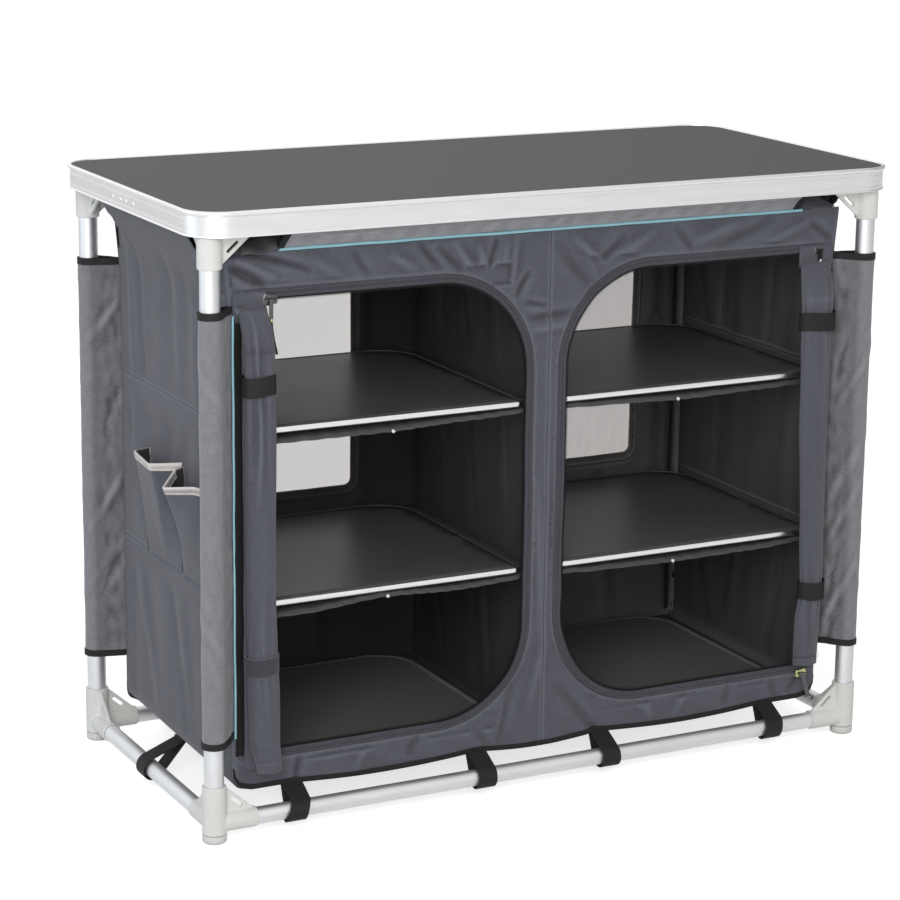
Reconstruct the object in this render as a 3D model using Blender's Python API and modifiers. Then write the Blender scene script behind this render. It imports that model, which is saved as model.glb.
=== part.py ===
"""Camp kitchen unit: a knock-down aluminium frame that carries a fabric cupboard and a worktop.

X runs to the right along the front, Y to the back and Z up, in metres.
The origin is on the floor under the middle of the unit, and the front faces -Y.
"""

import math

import bmesh
import bpy
from mathutils import Matrix, Vector

# Overall size
TOP_WIDTH = 1.010
TOP_DEPTH = 0.480
HEIGHT = 0.800

# Worktop: a laminated board in an extruded aluminium rim
TOP_CORNER_RADIUS = 0.050
RIM_HEIGHT = 0.032
RIM_WALL = 0.0018
BEAD_WIDTH = 0.0050
BEAD_HEIGHT = 0.0060
BAND_INSET = 0.0028
GROOVE_DEPTH = 0.0006
GROOVE_HEIGHT = 0.0015
LIP_DEPTH = 0.0012
LIP_HEIGHT = 0.0022
BOARD_THICKNESS = 0.0060
BOARD_SINK = 0.0015
LEDGE_WIDTH = 0.0110
LEDGE_THICKNESS = 0.0015

# Frame tubes
LEG_INSET = 0.0305
LEG_DIAMETER = 0.025
BAR_DIAMETER = 0.022
TUBE_WALL = 0.0012
BOTTOM_BAR_HEIGHT = 0.025

# Corner connectors, moulded in plastic and the same at all eight corners
LEG_SOCKET_DIAMETER = 0.031
BAR_SOCKET_DIAMETER = 0.026
LEG_SOCKET_LENGTH = 0.049
BAR_SOCKET_REACH = 0.056
CONNECTOR_END = 0.0137
LEG_BORE_DEPTH = 0.034
BAR_BORE_DEPTH = 0.038
GUSSET_THICKNESS = 0.0040
GUSSET_SETBACK = 0.0040
GUSSET_LIP = 0.0045
GUSSET_SLOT_WIDTH = 0.0045
GUSSET_SLOT_LENGTH = 0.020
FOOT_SPIGOT_DIAMETER = 0.016
FOOT_SPIGOT_LENGTH = 0.009
FOOT_EDGE_RADIUS = 0.003

# Fabric cupboard, hung between the legs, below the top bars and above the bottom bars
CLOTH = 0.002
CUPBOARD_TO_LEG_X = 0.0345
CUPBOARD_TO_LEG_Y = 0.0205
CUPBOARD_ABOVE_BAR = 0.031
CUPBOARD_BELOW_BAR = 0.0347
CUPBOARD_CORNER_RADIUS = 0.030
FLOOR_LIFT = 0.008
HEM_SAG = 0.006
HEM_DROOP = 0.003
HEM_POINTS = 6

# Doorways in the front panel
DOORWAY_OUTER_STRIP = 0.015
DOORWAY_INNER_STRIP = 0.028
DOORWAY_SILL = 0.044
DOORWAY_HEADER = 0.058
DOORWAY_INNER_RADIUS = 0.125
DOORWAY_OUTER_RADIUS = 0.002

# Windows in the back panel
WINDOW_INNER_STRIP = 0.100
WINDOW_OUTER_STRIP = 0.085
WINDOW_HEADER = 0.102
WINDOW_HEIGHT = 0.314
WINDOW_RADIUS = 0.010
WINDOW_SEAM = 0.012
WINDOW_THICKNESS = 0.001

# Shelf boards with an aluminium edging, lying on sewn-in fabric slings
BOARD_RISES = {"upper": 0.462, "lower": 0.239}
SHELF_SIDE_GAP = 0.008
SHELF_END_GAP = 0.004
SHELF_INNER_GAP = 0.027
SHELF_FRONT_RADIUS = 0.022
SHELF_BACK_RADIUS = 0.060
SHELF_CORE = 0.0050
EDGING_HEIGHT = 0.0065
EDGING_WIDTH = 0.0040
FLOOR_BOARD_THICKNESS = 0.0060
FLOOR_BOARD_RADIUS = 0.060
FLOOR_BOARD_MARGIN = 0.003
SLING_SAG = 0.009
SLING_LOBES = {"upper": 1, "lower": 2}
SLING_FRONT_GAP = 0.0025
SLING_COLUMNS = 16
SLING_ROW_SHARES = (0, 0.05, 0.14, 0.3, 1)

# Webbing loops round the bottom bars, and the sleeves that wrap legs and top bars
WEBBING_WIDTH = 0.022
OUTER_LOOP_INSET = 0.083
INNER_LOOP_X = 0.093
LOOP_OVERLAP = 0.006
LEG_SLEEVE_ABOVE_HEM = 0.064
LEG_SLEEVE_BELOW_TOP = 0.072
TOP_SLEEVE_END_GAP = 0.0625
SIDE_SLEEVE_CLEARANCE = 0.004

# Rolled doors and the bands that tie them up
ROLL_WIDTH = 0.046
ROLL_DEPTH = 0.028
ROLL_JAMB_OVERLAP = 0.008
ROLL_BELOW_HEADER = 0.024
ROLL_ABOVE_HEM = {"left": 0.010, "right": 0.052}
BAND_ABOVE_HEM = 0.162
BAND_BELOW_TOP = 0.077
BAND_WIDTH = 0.022
BAND_THICKNESS = 0.0015
BAND_DRAW_IN = 0.0025
BAND_EDGE = 0.0001
DRAWN_LENGTH = 0.042
ROLL_END_LENGTH = 0.008
ROLL_END_DRAW_IN = 0.0035

# Zip sliders and their pulls
SLIDER_LENGTH = 0.015
SLIDER_HEIGHT = 0.013
SLIDER_DEPTH = 0.008
SLIDER_GRIP = 0.008
CROWN_WIDTH = 0.0086
CROWN_POST = 0.0016
CROWN_ROOT = 0.0010
CROWN_BAR_DIAMETER = 0.0018
KNUCKLE_WALL = 0.0010
PULL_WIDTH = 0.0055
PULL_THICKNESS = 0.0016
PULL_END_RADIUS = 0.0016
ZIPS = {
    "top_left": {"side": -1, "from_jamb": 0.042, "edge": "top", "pull": 0.070},
    "top_right": {"side": 1, "from_jamb": 0.011, "edge": "top", "pull": 0.017},
    "bottom_right": {"side": 1, "from_jamb": 0.017, "edge": "bottom", "pull": 0.034},
}

# Bellows pockets on the left side
POCKET_MOUTH = 0.040
POCKET_ABOVE_HEM = 0.244
POCKET_HEIGHTS = {"rear": 0.140, "front": 0.120}
POCKET_FLAT_GAPE = 0.004
POCKET_REAR_INSET = 0.109
POCKET_FRONT_INSET = 0.041
POCKET_GAP = 0.004
POCKET_CLOTH = 0.0012
POCKET_ROW_SHARES = (0, 0.25, 0.55, 0.8, 1)
POCKET_FLARE = 1.4
# Each mouth runs from back to front: the share of the width, then the share of the gape.
POCKET_MOUTH_SHARES = {
    "rear": ((0, 0), (0, 0.60), (0.38, 1.0), (0.72, 0.80), (1, 0.30), (1, 0)),
    "front": ((0, 0), (0, 1.0), (0.36, 0.85), (0.72, 0.55), (1, 0.20), (1, 0)),
}

# Clearances and facets
GAP = 0.0003
CUT_OVERRUN = 0.002
TUBE_SIDES = 20
CONNECTOR_SIDES = 16
WRAP_STEPS = 14
CORNER_STEPS = 6
SHELF_CORNER_STEPS = 4

# Places worked out from the sizes above
LEG_X = TOP_WIDTH / 2 - LEG_INSET
LEG_Y = TOP_DEPTH / 2 - LEG_INSET
LEG_RADIUS = LEG_DIAMETER / 2
BAR_RADIUS = BAR_DIAMETER / 2
LEDGE_BOTTOM = HEIGHT - BOARD_SINK - BOARD_THICKNESS - GAP - LEDGE_THICKNESS
TOP_BAR_HEIGHT = LEDGE_BOTTOM - GAP - CONNECTOR_END
CUPBOARD_X = LEG_X - CUPBOARD_TO_LEG_X
CUPBOARD_Y = LEG_Y - CUPBOARD_TO_LEG_Y
CUPBOARD_BOTTOM = BOTTOM_BAR_HEIGHT + CUPBOARD_ABOVE_BAR
CUPBOARD_TOP = TOP_BAR_HEIGHT - CUPBOARD_BELOW_BAR
INNER_X = CUPBOARD_X - CLOTH
INNER_Y = CUPBOARD_Y - CLOTH
FLOOR_TOP = CUPBOARD_BOTTOM + FLOOR_LIFT + CLOTH
FRONT_MIDDLE = -CUPBOARD_Y + CLOTH / 2
DOORWAY_BOTTOM = CUPBOARD_BOTTOM + DOORWAY_SILL
DOORWAY_TOP = CUPBOARD_TOP - DOORWAY_HEADER
DOORWAY_JAMB = CUPBOARD_X - DOORWAY_OUTER_STRIP
SHELF_HALF_DEPTH = INNER_Y - SHELF_END_GAP
OUTER_LOOP_X = CUPBOARD_X - OUTER_LOOP_INSET
LOOP_CENTRES = (-OUTER_LOOP_X, -INNER_LOOP_X, INNER_LOOP_X, OUTER_LOOP_X)
TOP_SLEEVE_WIDTH = 2 * (CUPBOARD_X - TOP_SLEEVE_END_GAP)
POCKET_RUN = 2 * CUPBOARD_Y - POCKET_REAR_INSET - POCKET_FRONT_INSET
POCKET_WIDTH = (POCKET_RUN - POCKET_GAP) / 2
CROWN_BAR_OUT = GAP + CROWN_BAR_DIAMETER / 2 + GAP + KNUCKLE_WALL
SIGNS = {"left": -1, "right": 1, "front": -1, "back": 1}

UPRIGHT_XZ = Matrix.Rotation(math.radians(90), 4, "X")
UPRIGHT_YZ = Matrix(((0, 0, 1, 0), (1, 0, 0, 0), (0, 1, 0, 0), (0, 0, 0, 1)))


def start_clean():
    """Empty the scene and make the collections for the parts and for the cutters."""
    for old in list(bpy.data.objects):
        bpy.data.objects.remove(old)
    made = []
    for name in ("camp_kitchen_unit", "cutters"):
        collection = bpy.data.collections.new(name)
        bpy.context.scene.collection.children.link(collection)
        made.append(collection)
    return made


PARTS, CUTTERS = start_clean()


def material(name, colour, roughness, metallic=0.0):
    """A Principled material of one plain colour."""
    made = bpy.data.materials.new(name)
    made.use_nodes = True
    shader = made.node_tree.nodes["Principled BSDF"]
    shader.inputs["Base Color"].default_value = (*colour, 1.0)
    shader.inputs["Roughness"].default_value = roughness
    shader.inputs["Metallic"].default_value = metallic
    made.diffuse_color = (*colour, 1.0)
    return made


LAMINATE = material("grey_laminate", (0.13, 0.13, 0.13), 0.55)
ALUMINIUM = material("brushed_aluminium", (0.80, 0.80, 0.81), 0.30, 1.0)
TUBE_METAL = material("anodised_tube", (0.76, 0.77, 0.78), 0.35, 1.0)
PLASTIC = material("light_grey_plastic", (0.72, 0.72, 0.69), 0.45)
RUBBER = material("grey_rubber", (0.55, 0.55, 0.53), 0.70)
DARK_CLOTH = material("dark_grey_cloth", (0.095, 0.098, 0.115), 0.90)
LIGHT_CLOTH = material("light_grey_cloth", (0.24, 0.24, 0.26), 0.90)
LINING = material("black_lining", (0.030, 0.030, 0.032), 0.85)
NET = material("window_net", (0.55, 0.53, 0.51), 0.80)
SLIDER_METAL = material("slider_metal", (0.50, 0.48, 0.40), 0.35, 1.0)
CORD = material("black_cord", (0.03, 0.03, 0.03), 0.80)


def place(obj, matrix, paint=None, collection=None):
    """Give an object its place, its material and its collection."""
    obj.matrix_world = matrix
    if paint is not None:
        obj.data.materials.append(paint)
    target = PARTS if collection is None else collection
    target.objects.link(obj)
    if target is CUTTERS:
        obj.hide_render = True
    return obj


def new_object(name, mesh_tool, matrix, paint=None, collection=None):
    """An object made from a bmesh, which this frees."""
    mesh = bpy.data.meshes.new(name)
    mesh_tool.to_mesh(mesh)
    mesh_tool.free()
    return place(bpy.data.objects.new(name, mesh), matrix, paint, collection)


def as_mesh(obj):
    """Replace an object by the closed mesh that it evaluates to, in the same place."""
    bpy.context.view_layer.update()
    evaluated = obj.evaluated_get(bpy.context.evaluated_depsgraph_get())
    mesh = bpy.data.meshes.new_from_object(evaluated)
    tool = bmesh.new()
    tool.from_mesh(mesh)
    bmesh.ops.remove_doubles(tool, verts=tool.verts, dist=1e-6)
    bmesh.ops.recalc_face_normals(tool, faces=tool.faces)
    tool.to_mesh(mesh)
    tool.free()
    name = obj.name
    matrix = obj.matrix_world.copy()
    home = obj.users_collection[0]
    hidden = obj.hide_render
    bpy.data.objects.remove(obj)
    made = bpy.data.objects.new(name, mesh)
    made.matrix_world = matrix
    made.hide_render = hidden
    home.objects.link(made)
    return made


def combine(base, others, operation):
    """Join other solids to a mesh object, or cut them out of it."""
    for other in others:
        boolean = base.modifiers.new(operation.lower(), "BOOLEAN")
        boolean.operation = operation
        boolean.object = other
    made = as_mesh(base)
    for other in others:
        bpy.data.objects.remove(other)
    return made


def rounded_outline(corners, steps=CORNER_STEPS):
    """Points round a closed outline, anticlockwise, from its corners (x, y, radius)."""
    points = []
    for index, (x, y, radius) in enumerate(corners):
        corner = Vector((x, y))
        before = (Vector(corners[index - 1][:2]) - corner).normalized()
        after = (Vector(corners[(index + 1) % len(corners)][:2]) - corner).normalized()
        if radius <= 0:
            points.append(corner)
            continue
        half_angle = before.angle(after) / 2
        centre = corner + (before + after).normalized() * radius / math.sin(half_angle)
        first = corner + before * radius / math.tan(half_angle) - centre
        start = math.atan2(first.y, first.x)
        turn = math.copysign(math.pi - 2 * half_angle, before.y * after.x - before.x * after.y)
        for step in range(steps + 1):
            angle = start + turn * step / steps
            points.append(centre + radius * Vector((math.cos(angle), math.sin(angle))))
    return points


def rectangle(low_x, low_y, high_x, high_y, radius, steps=CORNER_STEPS):
    """A rectangle with rounded corners, anticlockwise."""
    corners = ((low_x, low_y), (high_x, low_y), (high_x, high_y), (low_x, high_y))
    return rounded_outline([(x, y, radius) for x, y in corners], steps)


def wrap_outline(centre, radius, apex, steps=WRAP_STEPS):
    """A drop shape: round a circle, and drawn out straight to a point."""
    centre = Vector(centre)
    reach = Vector(apex) - centre
    half_angle = math.acos(radius / reach.length)
    heading = math.atan2(reach.y, reach.x)
    points = []
    for step in range(steps + 1):
        angle = heading + half_angle + (2 * math.pi - 2 * half_angle) * step / steps
        points.append(centre + radius * Vector((math.cos(angle), math.sin(angle))))
    points.append(centre + reach)
    return points


def wrap_outlines(centre, radius, apex, cloth):
    """The outer and inner outlines of cloth of one thickness wrapped round a tube."""
    inner_radius = radius + 2 * GAP
    outer = wrap_outline(centre, inner_radius + cloth, apex)
    shrink = inner_radius / (inner_radius + cloth)
    middle = Vector(centre)
    inner = [middle + (point - middle) * shrink for point in outer]
    return [outer, inner]


def closed_curve(name, outlines):
    """A flat curve with one closed spline for each outline."""
    curve = bpy.data.curves.new(name, "CURVE")
    curve.dimensions = "2D"
    curve.fill_mode = "BOTH"
    curve.render_resolution_u = 0
    for outline in outlines:
        spline = curve.splines.new("POLY")
        spline.points.add(len(outline) - 1)
        for point, (x, y) in zip(spline.points, outline):
            point.co = (x, y, 0, 1)
        spline.use_cyclic_u = True
    return curve


def plate(name, outlines, thickness, matrix, paint=None, collection=None):
    """A flat piece with the first outline as its edge and the others as its holes."""
    curve = closed_curve(name, outlines)
    curve.extrude = thickness / 2
    made = as_mesh(place(bpy.data.objects.new(name, curve), matrix, None, collection))
    if paint is not None:
        made.data.materials.append(paint)
    return made


def moulding(name, path, profile, matrix, paint=None, collection=None):
    """A profile (outward, upward) run round a closed path, as an extrusion is bent."""
    bevel_profile = [(-outward, upward) for outward, upward in profile]
    section = bpy.data.objects.new(name + "_section", closed_curve(name + "_section", [bevel_profile]))
    CUTTERS.objects.link(section)
    curve = closed_curve(name, [path])
    curve.bevel_mode = "OBJECT"
    curve.bevel_object = section
    made = as_mesh(place(bpy.data.objects.new(name, curve), matrix, None, collection))
    bpy.data.objects.remove(section)
    if paint is not None:
        made.data.materials.append(paint)
    return made


def along(axis, centre):
    """The place of a piece whose own Z runs along a world axis."""
    turns = {
        "X": Matrix.Rotation(math.radians(90), 4, "Y"),
        "Y": Matrix.Rotation(math.radians(-90), 4, "X"),
        "Z": Matrix.Identity(4),
    }
    return Matrix.Translation(centre) @ turns[axis]


def bore_radius(radius, sides=CONNECTOR_SIDES):
    """The radius that a faceted bore is drawn at, so that its flats clear a round bar."""
    return (radius + GAP) / math.cos(math.pi / sides)


def rod(name, radius, length, matrix, paint=None, collection=None, sides=CONNECTOR_SIDES):
    """A plain round bar."""
    tool = bmesh.new()
    bmesh.ops.create_cone(
        tool, cap_ends=True, segments=sides, radius1=radius, radius2=radius, depth=length
    )
    return new_object(name, tool, matrix, paint, collection)


def block(name, size, matrix, paint=None, collection=None):
    """A plain box."""
    tool = bmesh.new()
    bmesh.ops.create_cube(tool, size=1.0)
    bmesh.ops.scale(tool, vec=size, verts=tool.verts)
    return new_object(name, tool, matrix, paint, collection)


def tube(name, radius, length, matrix, paint):
    """A tube with an open bore: a round wall made solid inwards."""
    tool = bmesh.new()
    bmesh.ops.create_cone(
        tool, cap_ends=False, segments=TUBE_SIDES, radius1=radius, radius2=radius, depth=length
    )
    made = new_object(name, tool, matrix, paint)
    solidify = made.modifiers.new("wall", "SOLIDIFY")
    solidify.thickness = TUBE_WALL
    solidify.offset = -1
    return made


def corners():
    """The four corners of the frame: name and the signs of X and Y."""
    for depth_name in ("front", "back"):
        for width_name in ("left", "right"):
            yield f"{depth_name}_{width_name}", SIGNS[width_name], SIGNS[depth_name]


def make_worktop():
    """The laminated board and the bent extrusion round it."""
    edge_inset = BEAD_WIDTH + GAP
    board_x = TOP_WIDTH / 2 - edge_inset
    board_y = TOP_DEPTH / 2 - edge_inset
    board = rectangle(-board_x, -board_y, board_x, board_y, TOP_CORNER_RADIUS - edge_inset)
    middle = HEIGHT - BOARD_SINK - BOARD_THICKNESS / 2
    plate("table_board", [board], BOARD_THICKNESS, Matrix.Translation((0, 0, middle)), LAMINATE)

    ledge_top = LEDGE_BOTTOM + LEDGE_THICKNESS - HEIGHT
    groove = -BEAD_HEIGHT
    wall_inside = -BAND_INSET - RIM_WALL
    profile = [
        (-BEAD_WIDTH, ledge_top),
        (-BEAD_WIDTH, -0.35 * BEAD_HEIGHT),
        (-0.75 * BEAD_WIDTH, -0.06 * BEAD_HEIGHT),
        (-0.45 * BEAD_WIDTH, 0),
        (-0.12 * BEAD_WIDTH, -0.2 * BEAD_HEIGHT),
        (0, -0.5 * BEAD_HEIGHT),
        (-0.15 * BEAD_WIDTH, -0.8 * BEAD_HEIGHT),
        (-BAND_INSET - GROOVE_DEPTH, groove),
        (-BAND_INSET, groove - GROOVE_HEIGHT),
        (-BAND_INSET, LIP_HEIGHT - RIM_HEIGHT),
        (-BAND_INSET + LIP_DEPTH, 0.5 * LIP_HEIGHT - RIM_HEIGHT),
        (-BAND_INSET + 0.5 * LIP_DEPTH, -RIM_HEIGHT),
        (wall_inside, -RIM_HEIGHT),
        (wall_inside, ledge_top - LEDGE_THICKNESS),
        (-LEDGE_WIDTH, ledge_top - LEDGE_THICKNESS),
        (-LEDGE_WIDTH, ledge_top),
    ]
    outer = rectangle(
        -TOP_WIDTH / 2, -TOP_DEPTH / 2, TOP_WIDTH / 2, TOP_DEPTH / 2, TOP_CORNER_RADIUS
    )
    moulding("table_rim", outer, profile, Matrix.Translation((0, 0, HEIGHT)), ALUMINIUM)


def connector_mesh():
    """One corner connector, with its origin where leg and bars cross and its leg socket up."""
    leg_socket_radius = LEG_SOCKET_DIAMETER / 2
    bar_socket_radius = BAR_SOCKET_DIAMETER / 2
    height = LEG_SOCKET_LENGTH + CONNECTOR_END
    centre = (LEG_SOCKET_LENGTH - CONNECTOR_END) / 2
    body = rod("connector", leg_socket_radius, height, along("Z", (0, 0, centre)), None, CUTTERS)

    slot_far = GUSSET_LIP + GUSSET_SLOT_WIDTH
    web_top = LEG_SOCKET_LENGTH - GUSSET_SETBACK
    web_end = BAR_SOCKET_REACH - GUSSET_SETBACK
    web = [
        (0, 0),
        (web_end, 0),
        (web_end, bar_socket_radius),
        (leg_socket_radius, web_top),
        (0, web_top),
    ]
    slope = Vector((leg_socket_radius - web_end, web_top - bar_socket_radius)).normalized()
    inward = Vector((-slope.y, slope.x))
    middle = Vector((web_end + leg_socket_radius, bar_socket_radius + web_top)) / 2
    slot_centre = middle + inward * (GUSSET_LIP + slot_far) / 2
    slot = []
    half_run = (GUSSET_SLOT_LENGTH - GUSSET_SLOT_WIDTH) / 2
    heading = math.atan2(slope.y, slope.x)
    for end in (1, -1):
        for step in range(5):
            angle = heading + math.pi * (step / 4 - (0.5 if end == 1 else -0.5))
            turn = Vector((math.cos(angle), math.sin(angle))) * GUSSET_SLOT_WIDTH / 2
            slot.append(slot_centre + slope * half_run * end + turn)

    joined = []
    for axis, upright in (("X", UPRIGHT_XZ), ("Y", UPRIGHT_YZ)):
        direction = Vector((1, 0, 0)) if axis == "X" else Vector((0, 1, 0))
        place_matrix = along(axis, direction * BAR_SOCKET_REACH / 2)
        joined.append(
            rod("socket_" + axis, bar_socket_radius, BAR_SOCKET_REACH, place_matrix, None, CUTTERS)
        )
        joined.append(plate("web_" + axis, [web, slot], GUSSET_THICKNESS, upright, None, CUTTERS))
    body = combine(body, joined, "UNION")

    leg_depth = LEG_BORE_DEPTH + CUT_OVERRUN
    leg_spot = along("Z", (0, 0, LEG_SOCKET_LENGTH + CUT_OVERRUN - leg_depth / 2))
    foot_depth = FOOT_SPIGOT_LENGTH + GAP + CUT_OVERRUN
    foot_spot = along("Z", (0, 0, foot_depth / 2 - CONNECTOR_END - CUT_OVERRUN))
    foot_bore = bore_radius(FOOT_SPIGOT_DIAMETER / 2)
    bores = [
        rod("leg_bore", bore_radius(LEG_RADIUS), leg_depth, leg_spot, None, CUTTERS),
        rod("foot_bore", foot_bore, foot_depth, foot_spot, None, CUTTERS),
    ]
    for axis, direction in (("X", Vector((1, 0, 0))), ("Y", Vector((0, 1, 0)))):
        depth = BAR_BORE_DEPTH + CUT_OVERRUN
        spot = along(axis, direction * (BAR_SOCKET_REACH + CUT_OVERRUN - depth / 2))
        bores.append(rod("bar_bore", bore_radius(BAR_RADIUS), depth, spot, None, CUTTERS))
    body = combine(body, bores, "DIFFERENCE")
    mesh = body.data
    mesh.transform(body.matrix_world)
    bpy.data.objects.remove(body)
    return mesh


def make_connectors():
    """The same connector at all eight corners, turned over by mirroring its mesh."""
    pattern = connector_mesh()
    for level, height, up in (("bottom", BOTTOM_BAR_HEIGHT, 1), ("top", TOP_BAR_HEIGHT, -1)):
        for name, side_x, side_y in corners():
            tool = bmesh.new()
            tool.from_mesh(pattern)
            bmesh.ops.scale(tool, vec=(-side_x, -side_y, up), verts=tool.verts)
            if side_x * side_y * up < 0:
                bmesh.ops.reverse_faces(tool, faces=tool.faces)
            spot = Matrix.Translation((side_x * LEG_X, side_y * LEG_Y, height))
            new_object(f"{level}_connector_{name}", tool, spot, PLASTIC)


def make_frame():
    """Legs, bars and feet."""
    leg_low = BOTTOM_BAR_HEIGHT + LEG_SOCKET_LENGTH - LEG_BORE_DEPTH + GAP
    leg_high = TOP_BAR_HEIGHT - LEG_SOCKET_LENGTH + LEG_BORE_DEPTH - GAP
    bar_end = BAR_SOCKET_REACH - BAR_BORE_DEPTH + GAP
    for name, side_x, side_y in corners():
        middle = (side_x * LEG_X, side_y * LEG_Y, (leg_low + leg_high) / 2)
        tube("leg_" + name, LEG_RADIUS, leg_high - leg_low, along("Z", middle), TUBE_METAL)
    for level, height in (("bottom", BOTTOM_BAR_HEIGHT), ("top", TOP_BAR_HEIGHT)):
        for side in ("front", "back"):
            spot = along("X", (0, SIGNS[side] * LEG_Y, height))
            tube(f"{level}_bar_{side}", BAR_RADIUS, 2 * (LEG_X - bar_end), spot, TUBE_METAL)
        for side in ("left", "right"):
            spot = along("Y", (SIGNS[side] * LEG_X, 0, height))
            tube(f"{level}_bar_{side}", BAR_RADIUS, 2 * (LEG_Y - bar_end), spot, TUBE_METAL)

    cap_top = BOTTOM_BAR_HEIGHT - CONNECTOR_END - GAP
    cap_radius = LEG_SOCKET_DIAMETER / 2
    spigot_radius = FOOT_SPIGOT_DIAMETER / 2
    spigot_top = cap_top + FOOT_SPIGOT_LENGTH
    profile = [
        (0, spigot_top),
        (spigot_radius, spigot_top),
        (spigot_radius, cap_top),
        (cap_radius, cap_top),
        (cap_radius, FOOT_EDGE_RADIUS),
        (cap_radius - 0.3 * FOOT_EDGE_RADIUS, 0.3 * FOOT_EDGE_RADIUS),
        (cap_radius - FOOT_EDGE_RADIUS, 0),
        (0, 0),
    ]
    for name, side_x, side_y in corners():
        tool = bmesh.new()
        ring = [tool.verts.new((radius, 0, height)) for radius, height in profile]
        for first, second in zip(ring, ring[1:]):
            tool.edges.new((first, second))
        spot = Matrix.Translation((side_x * LEG_X, side_y * LEG_Y, 0))
        foot = new_object("foot_" + name, tool, spot, RUBBER)
        turned = foot.modifiers.new("turned", "SCREW")
        turned.steps = TUBE_SIDES
        turned.render_steps = TUBE_SIDES
        turned.use_merge_vertices = True
        turned.merge_threshold = 0.00001


def hem_outline(low_x, high_x):
    """A panel's outline with rounded lower corners and a hem that sags between its loops."""
    bottom = CUPBOARD_BOTTOM
    radius = CUPBOARD_CORNER_RADIUS
    top = CUPBOARD_TOP
    body = rounded_outline(
        [(low_x, bottom, radius), (high_x, bottom, radius), (high_x, top, 0), (low_x, top, 0)]
    )
    left_arc = body[: CORNER_STEPS + 1]
    rest = body[CORNER_STEPS + 1 :]
    stations = [(LOOP_CENTRES[-1], 0)]
    for left, right in zip(LOOP_CENTRES, LOOP_CENTRES[1:]):
        for point in range(HEM_POINTS):
            share = point / HEM_POINTS
            stations.append((left + (right - left) * share, share))
    hem = []
    for x, share in sorted(stations):
        droop = HEM_DROOP * (1 - (x / high_x) ** 2)
        hem.append(Vector((x, bottom - droop - HEM_SAG * math.sin(math.pi * share))))
    return left_arc + hem + rest


def webbing_loops(side_y, panel_middle):
    """The webbing loops of one panel's hem, each wrapped round the bottom bar."""
    apex = (panel_middle, CUPBOARD_BOTTOM + LOOP_OVERLAP)
    outlines = wrap_outlines((side_y * LEG_Y, BOTTOM_BAR_HEIGHT), BAR_RADIUS, apex, CLOTH)
    loops = []
    for count, x in enumerate(LOOP_CENTRES):
        spot = Matrix.Translation((x, 0, 0)) @ UPRIGHT_YZ
        loops.append(plate(f"loop_{count}", outlines, WEBBING_WIDTH, spot, None, CUTTERS))
    return loops


def make_front_panel():
    """The front panel, with a doorway each side of its middle seam and four webbing loops."""
    edge = hem_outline(-CUPBOARD_X, CUPBOARD_X)
    doorways = []
    for side in (-1, 1):
        low_x, high_x = sorted((side * DOORWAY_JAMB, side * DOORWAY_INNER_STRIP))
        low_radius, high_radius = (
            (DOORWAY_OUTER_RADIUS, DOORWAY_INNER_RADIUS)
            if side < 0
            else (DOORWAY_INNER_RADIUS, DOORWAY_OUTER_RADIUS)
        )
        doorways.append(
            rounded_outline(
                [
                    (low_x, DOORWAY_BOTTOM, low_radius),
                    (high_x, DOORWAY_BOTTOM, high_radius),
                    (high_x, DOORWAY_TOP, high_radius),
                    (low_x, DOORWAY_TOP, low_radius),
                ],
                2 * CORNER_STEPS,
            )
        )
    spot = Matrix.Translation((0, FRONT_MIDDLE, 0)) @ UPRIGHT_XZ
    panel = plate("front_panel", [edge, *doorways], CLOTH, spot)
    combine(panel, webbing_loops(-1, FRONT_MIDDLE), "UNION").data.materials.append(DARK_CLOTH)


def make_back_panel():
    """The back panel, with two window gaps, four webbing loops and a sleeve for the top bar."""
    edge = hem_outline(-CUPBOARD_X, CUPBOARD_X)
    window_outer = CUPBOARD_X - WINDOW_OUTER_STRIP
    window_top = CUPBOARD_TOP - WINDOW_HEADER
    window_bottom = window_top - WINDOW_HEIGHT
    windows = []
    for side in (-1, 1):
        low_x, high_x = sorted((side * WINDOW_INNER_STRIP, side * window_outer))
        windows.append(rectangle(low_x, window_bottom, high_x, window_top, WINDOW_RADIUS, 3))
    middle_y = -FRONT_MIDDLE
    spot = Matrix.Translation((0, middle_y, 0)) @ UPRIGHT_XZ
    panel = plate("back_panel", [edge, *windows], CLOTH, spot)
    joined = webbing_loops(1, middle_y)
    apex = (middle_y, CUPBOARD_TOP - LOOP_OVERLAP)
    sleeve = wrap_outlines((LEG_Y, TOP_BAR_HEIGHT), BAR_RADIUS, apex, CLOTH)
    joined.append(plate("back_sleeve", sleeve, TOP_SLEEVE_WIDTH, UPRIGHT_YZ, None, CUTTERS))
    combine(panel, joined, "UNION").data.materials.append(DARK_CLOTH)

    film_y = CUPBOARD_Y + GAP + WINDOW_THICKNESS / 2
    film_inner = WINDOW_INNER_STRIP - WINDOW_SEAM
    film_outer = window_outer + WINDOW_SEAM
    film_bottom = window_bottom - WINDOW_SEAM
    film_top = window_top + WINDOW_SEAM
    for name, side in (("left", -1), ("right", 1)):
        low_x, high_x = sorted((side * film_inner, side * film_outer))
        outline = rectangle(low_x, film_bottom, high_x, film_top, WINDOW_RADIUS, 3)
        spot = Matrix.Translation((0, film_y, 0)) @ UPRIGHT_XZ
        plate("window_" + name, [outline], WINDOW_THICKNESS, spot, NET)


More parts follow.
